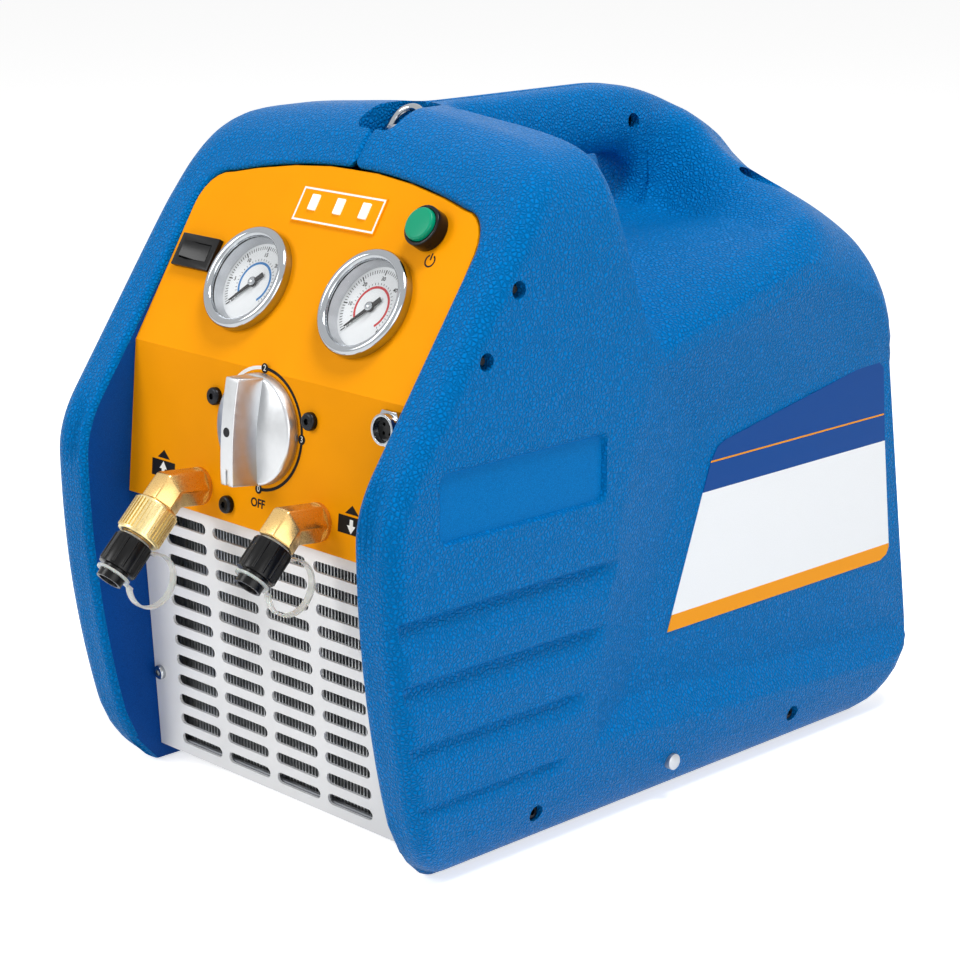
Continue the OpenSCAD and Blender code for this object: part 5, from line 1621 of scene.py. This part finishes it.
class MACHINE_OT_inside(bpy.types.Operator):
    """Fan, compressor, pipes, capacitor and mains inlet"""

    bl_idname = "machine.inside"
    bl_label = "Inside"

    def execute(self, context):
        edge = context.scene.machine_sizes.edge / MM
        dress("black", "fan_shroud", "fan_rotor")
        softened("power_inlet", "black", 0.4)
        softened("cylinder_heads", "cast", 2.0)
        softened("valve_block", "cast", edge)
        softened("compressor_motor", "enamel", 3.0)
        softened("crankcase", "cast", 1.5)
        dress("enamel", "fan_motor")
        dress("cast", "cylinder_barrels", "start_capacitor")
        dress("zinc", "compressor_cradle")
        dress("rubber", "cradle_grommets")
        dress("copper", "suction_pipe", "discharge_pipe", "liquid_pipe")
        dress("brass", "inlet_pins")
        return {"FINISHED"}


CAMERA_PLACE = (954.0, -957.0, 521.0)
CAMERA_AIM = (-73.3, 46.0, 124.3)
CAMERA_LENS = 95.8
SENSOR = 36
FLOOR_REACH = 14.0
FLOOR_GLOW = 0.62
WORLD_LIGHT = 0.33
# Name, place in metres, watts, width in metres
LAMPS = (
    ("key", (-0.9, -1.8, 1.3), 19, 0.9),
    ("fill", (2.2, -0.8, 0.6), 15, 1.4),
    ("top", (0.55, 0.0, 1.8), 21, 0.6),
)
LAMP_AIM = (0, 0, 0.18)


class MACHINE_OT_stage(bpy.types.Operator):
    """White studio: floor, soft lights and a camera at the photograph's angle"""

    bl_idname = "machine.stage"
    bl_label = "Stage"

    def execute(self, context):
        scene = context.scene
        scene.view_settings.view_transform = "Standard"
        self.floor()
        self.world(scene)
        self.lamps()
        camera = bpy.data.cameras.new("camera")
        camera.lens = CAMERA_LENS
        camera.sensor_width = SENSOR
        scene.camera = self.aimed(camera, Vector(CAMERA_PLACE) * MM, Vector(CAMERA_AIM) * MM)
        return {"FINISHED"}

    @staticmethod
    def aimed(data, place, aim):
        """A camera or lamp at a place that looks at a spot, both in metres."""
        holder = placed(data.name, data)
        holder.location = place
        holder.rotation_euler = (aim - holder.location).to_track_quat("-Z", "Y").to_euler()
        return holder

    @staticmethod
    def seen(tree):
        """1 for rays from the camera and for mirrored and passed light, else 0."""
        path = add(tree, "ShaderNodeLightPath")
        kinds = ("Camera", "Glossy", "Transmission")
        camera, glossy, passed = (path.outputs[f"Is {kind} Ray"] for kind in kinds)
        either = add(tree, "ShaderNodeMath", {0: camera, 1: glossy}, operation="MAXIMUM")
        return add(tree, "ShaderNodeMath", {0: either.outputs[0], 1: passed}, operation="MAXIMUM").outputs[0]

    def floor(self):
        """White floor: it looks white where it is lit, and still takes the machine's shadow."""
        shape = bmesh.new()
        bmesh.ops.create_grid(shape, x_segments=8, y_segments=8, size=FLOOR_REACH)
        mesh = bpy.data.meshes.new("floor")
        shape.to_mesh(mesh)
        shape.free()
        material, tree, surface = finish("white_floor", linear("#FAFAFA"), roughness=0.95)
        surface.inputs["Specular IOR Level"].default_value = 0
        surface.inputs["Emission Color"].default_value = (1, 1, 1, 1)
        tree.links.new(ramp(tree, self.seen(tree), 0, 1, 0, FLOOR_GLOW), surface.inputs["Emission Strength"])
        mesh.materials.append(material)
        placed("floor", mesh)

    def world(self, scene):
        """White background for the eye and for reflections, and a dimmer even light."""
        world = bpy.data.worlds.new("studio")
        world.use_nodes = True
        scene.world = world
        tree = world.node_tree
        tree.nodes.clear()
        strength = ramp(tree, self.seen(tree), 0, 1, WORLD_LIGHT, 1.0)
        back = add(tree, "ShaderNodeBackground", {"Color": (1, 1, 1, 1), "Strength": strength})
        add(tree, "ShaderNodeOutputWorld", {"Surface": back.outputs[0]})

    def lamps(self):
        """Soft area lights aimed at the machine."""
        for name, place, power, size in LAMPS:
            light = bpy.data.lights.new(name, "AREA")
            light.energy = power
            light.size = size
            self.aimed(light, place, Vector(LAMP_AIM))


STEPS = (
    MACHINE_OT_stage,
    MACHINE_OT_shells,
    MACHINE_OT_label,
    MACHINE_OT_panel,
    MACHINE_OT_gauges,
    MACHINE_OT_knob,
    MACHINE_OT_switches,
    MACHINE_OT_fittings,
    MACHINE_OT_sheet_metal,
    MACHINE_OT_condenser,
    MACHINE_OT_screws,
    MACHINE_OT_carry_ring,
    MACHINE_OT_inside,
)


class MACHINE_PT_sidebar(bpy.types.Panel):
    """Sizes, colours and the steps of the machine"""

    bl_idname = "MACHINE_PT_sidebar"
    bl_label = "Recovery Machine"
    bl_space_type = "VIEW_3D"
    bl_region_type = "UI"
    bl_category = "Recovery Machine"

    def draw(self, context):
        for group in (context.scene.machine_sizes, context.scene.machine_colours):
            for key in group.bl_rna.properties.keys():
                if key not in ("rna_type", "name"):
                    self.layout.prop(group, key)
        for step in STEPS:
            self.layout.operator(step.bl_idname)


CLASSES = (MachineColours, MachineSizes, *STEPS, MACHINE_PT_sidebar)


def register():
    """Registers the classes and hangs the settings on the scene."""
    for cls in CLASSES:
        bpy.utils.register_class(cls)
    bpy.types.Scene.machine_colours = bpy.props.PointerProperty(type=MachineColours)
    bpy.types.Scene.machine_sizes = bpy.props.PointerProperty(type=MachineSizes)


def unregister():
    """Takes back what register did."""
    del bpy.types.Scene.machine_sizes
    del bpy.types.Scene.machine_colours
    for cls in reversed(CLASSES):
        bpy.utils.unregister_class(cls)


def main():
    """Builds every piece in order."""
    register()
    make_finishes(bpy.context)
    for step in STEPS:
        group, name = step.bl_idname.split(".")
        getattr(getattr(bpy.ops, group), name)()


if __name__ == "__main__":
    main()
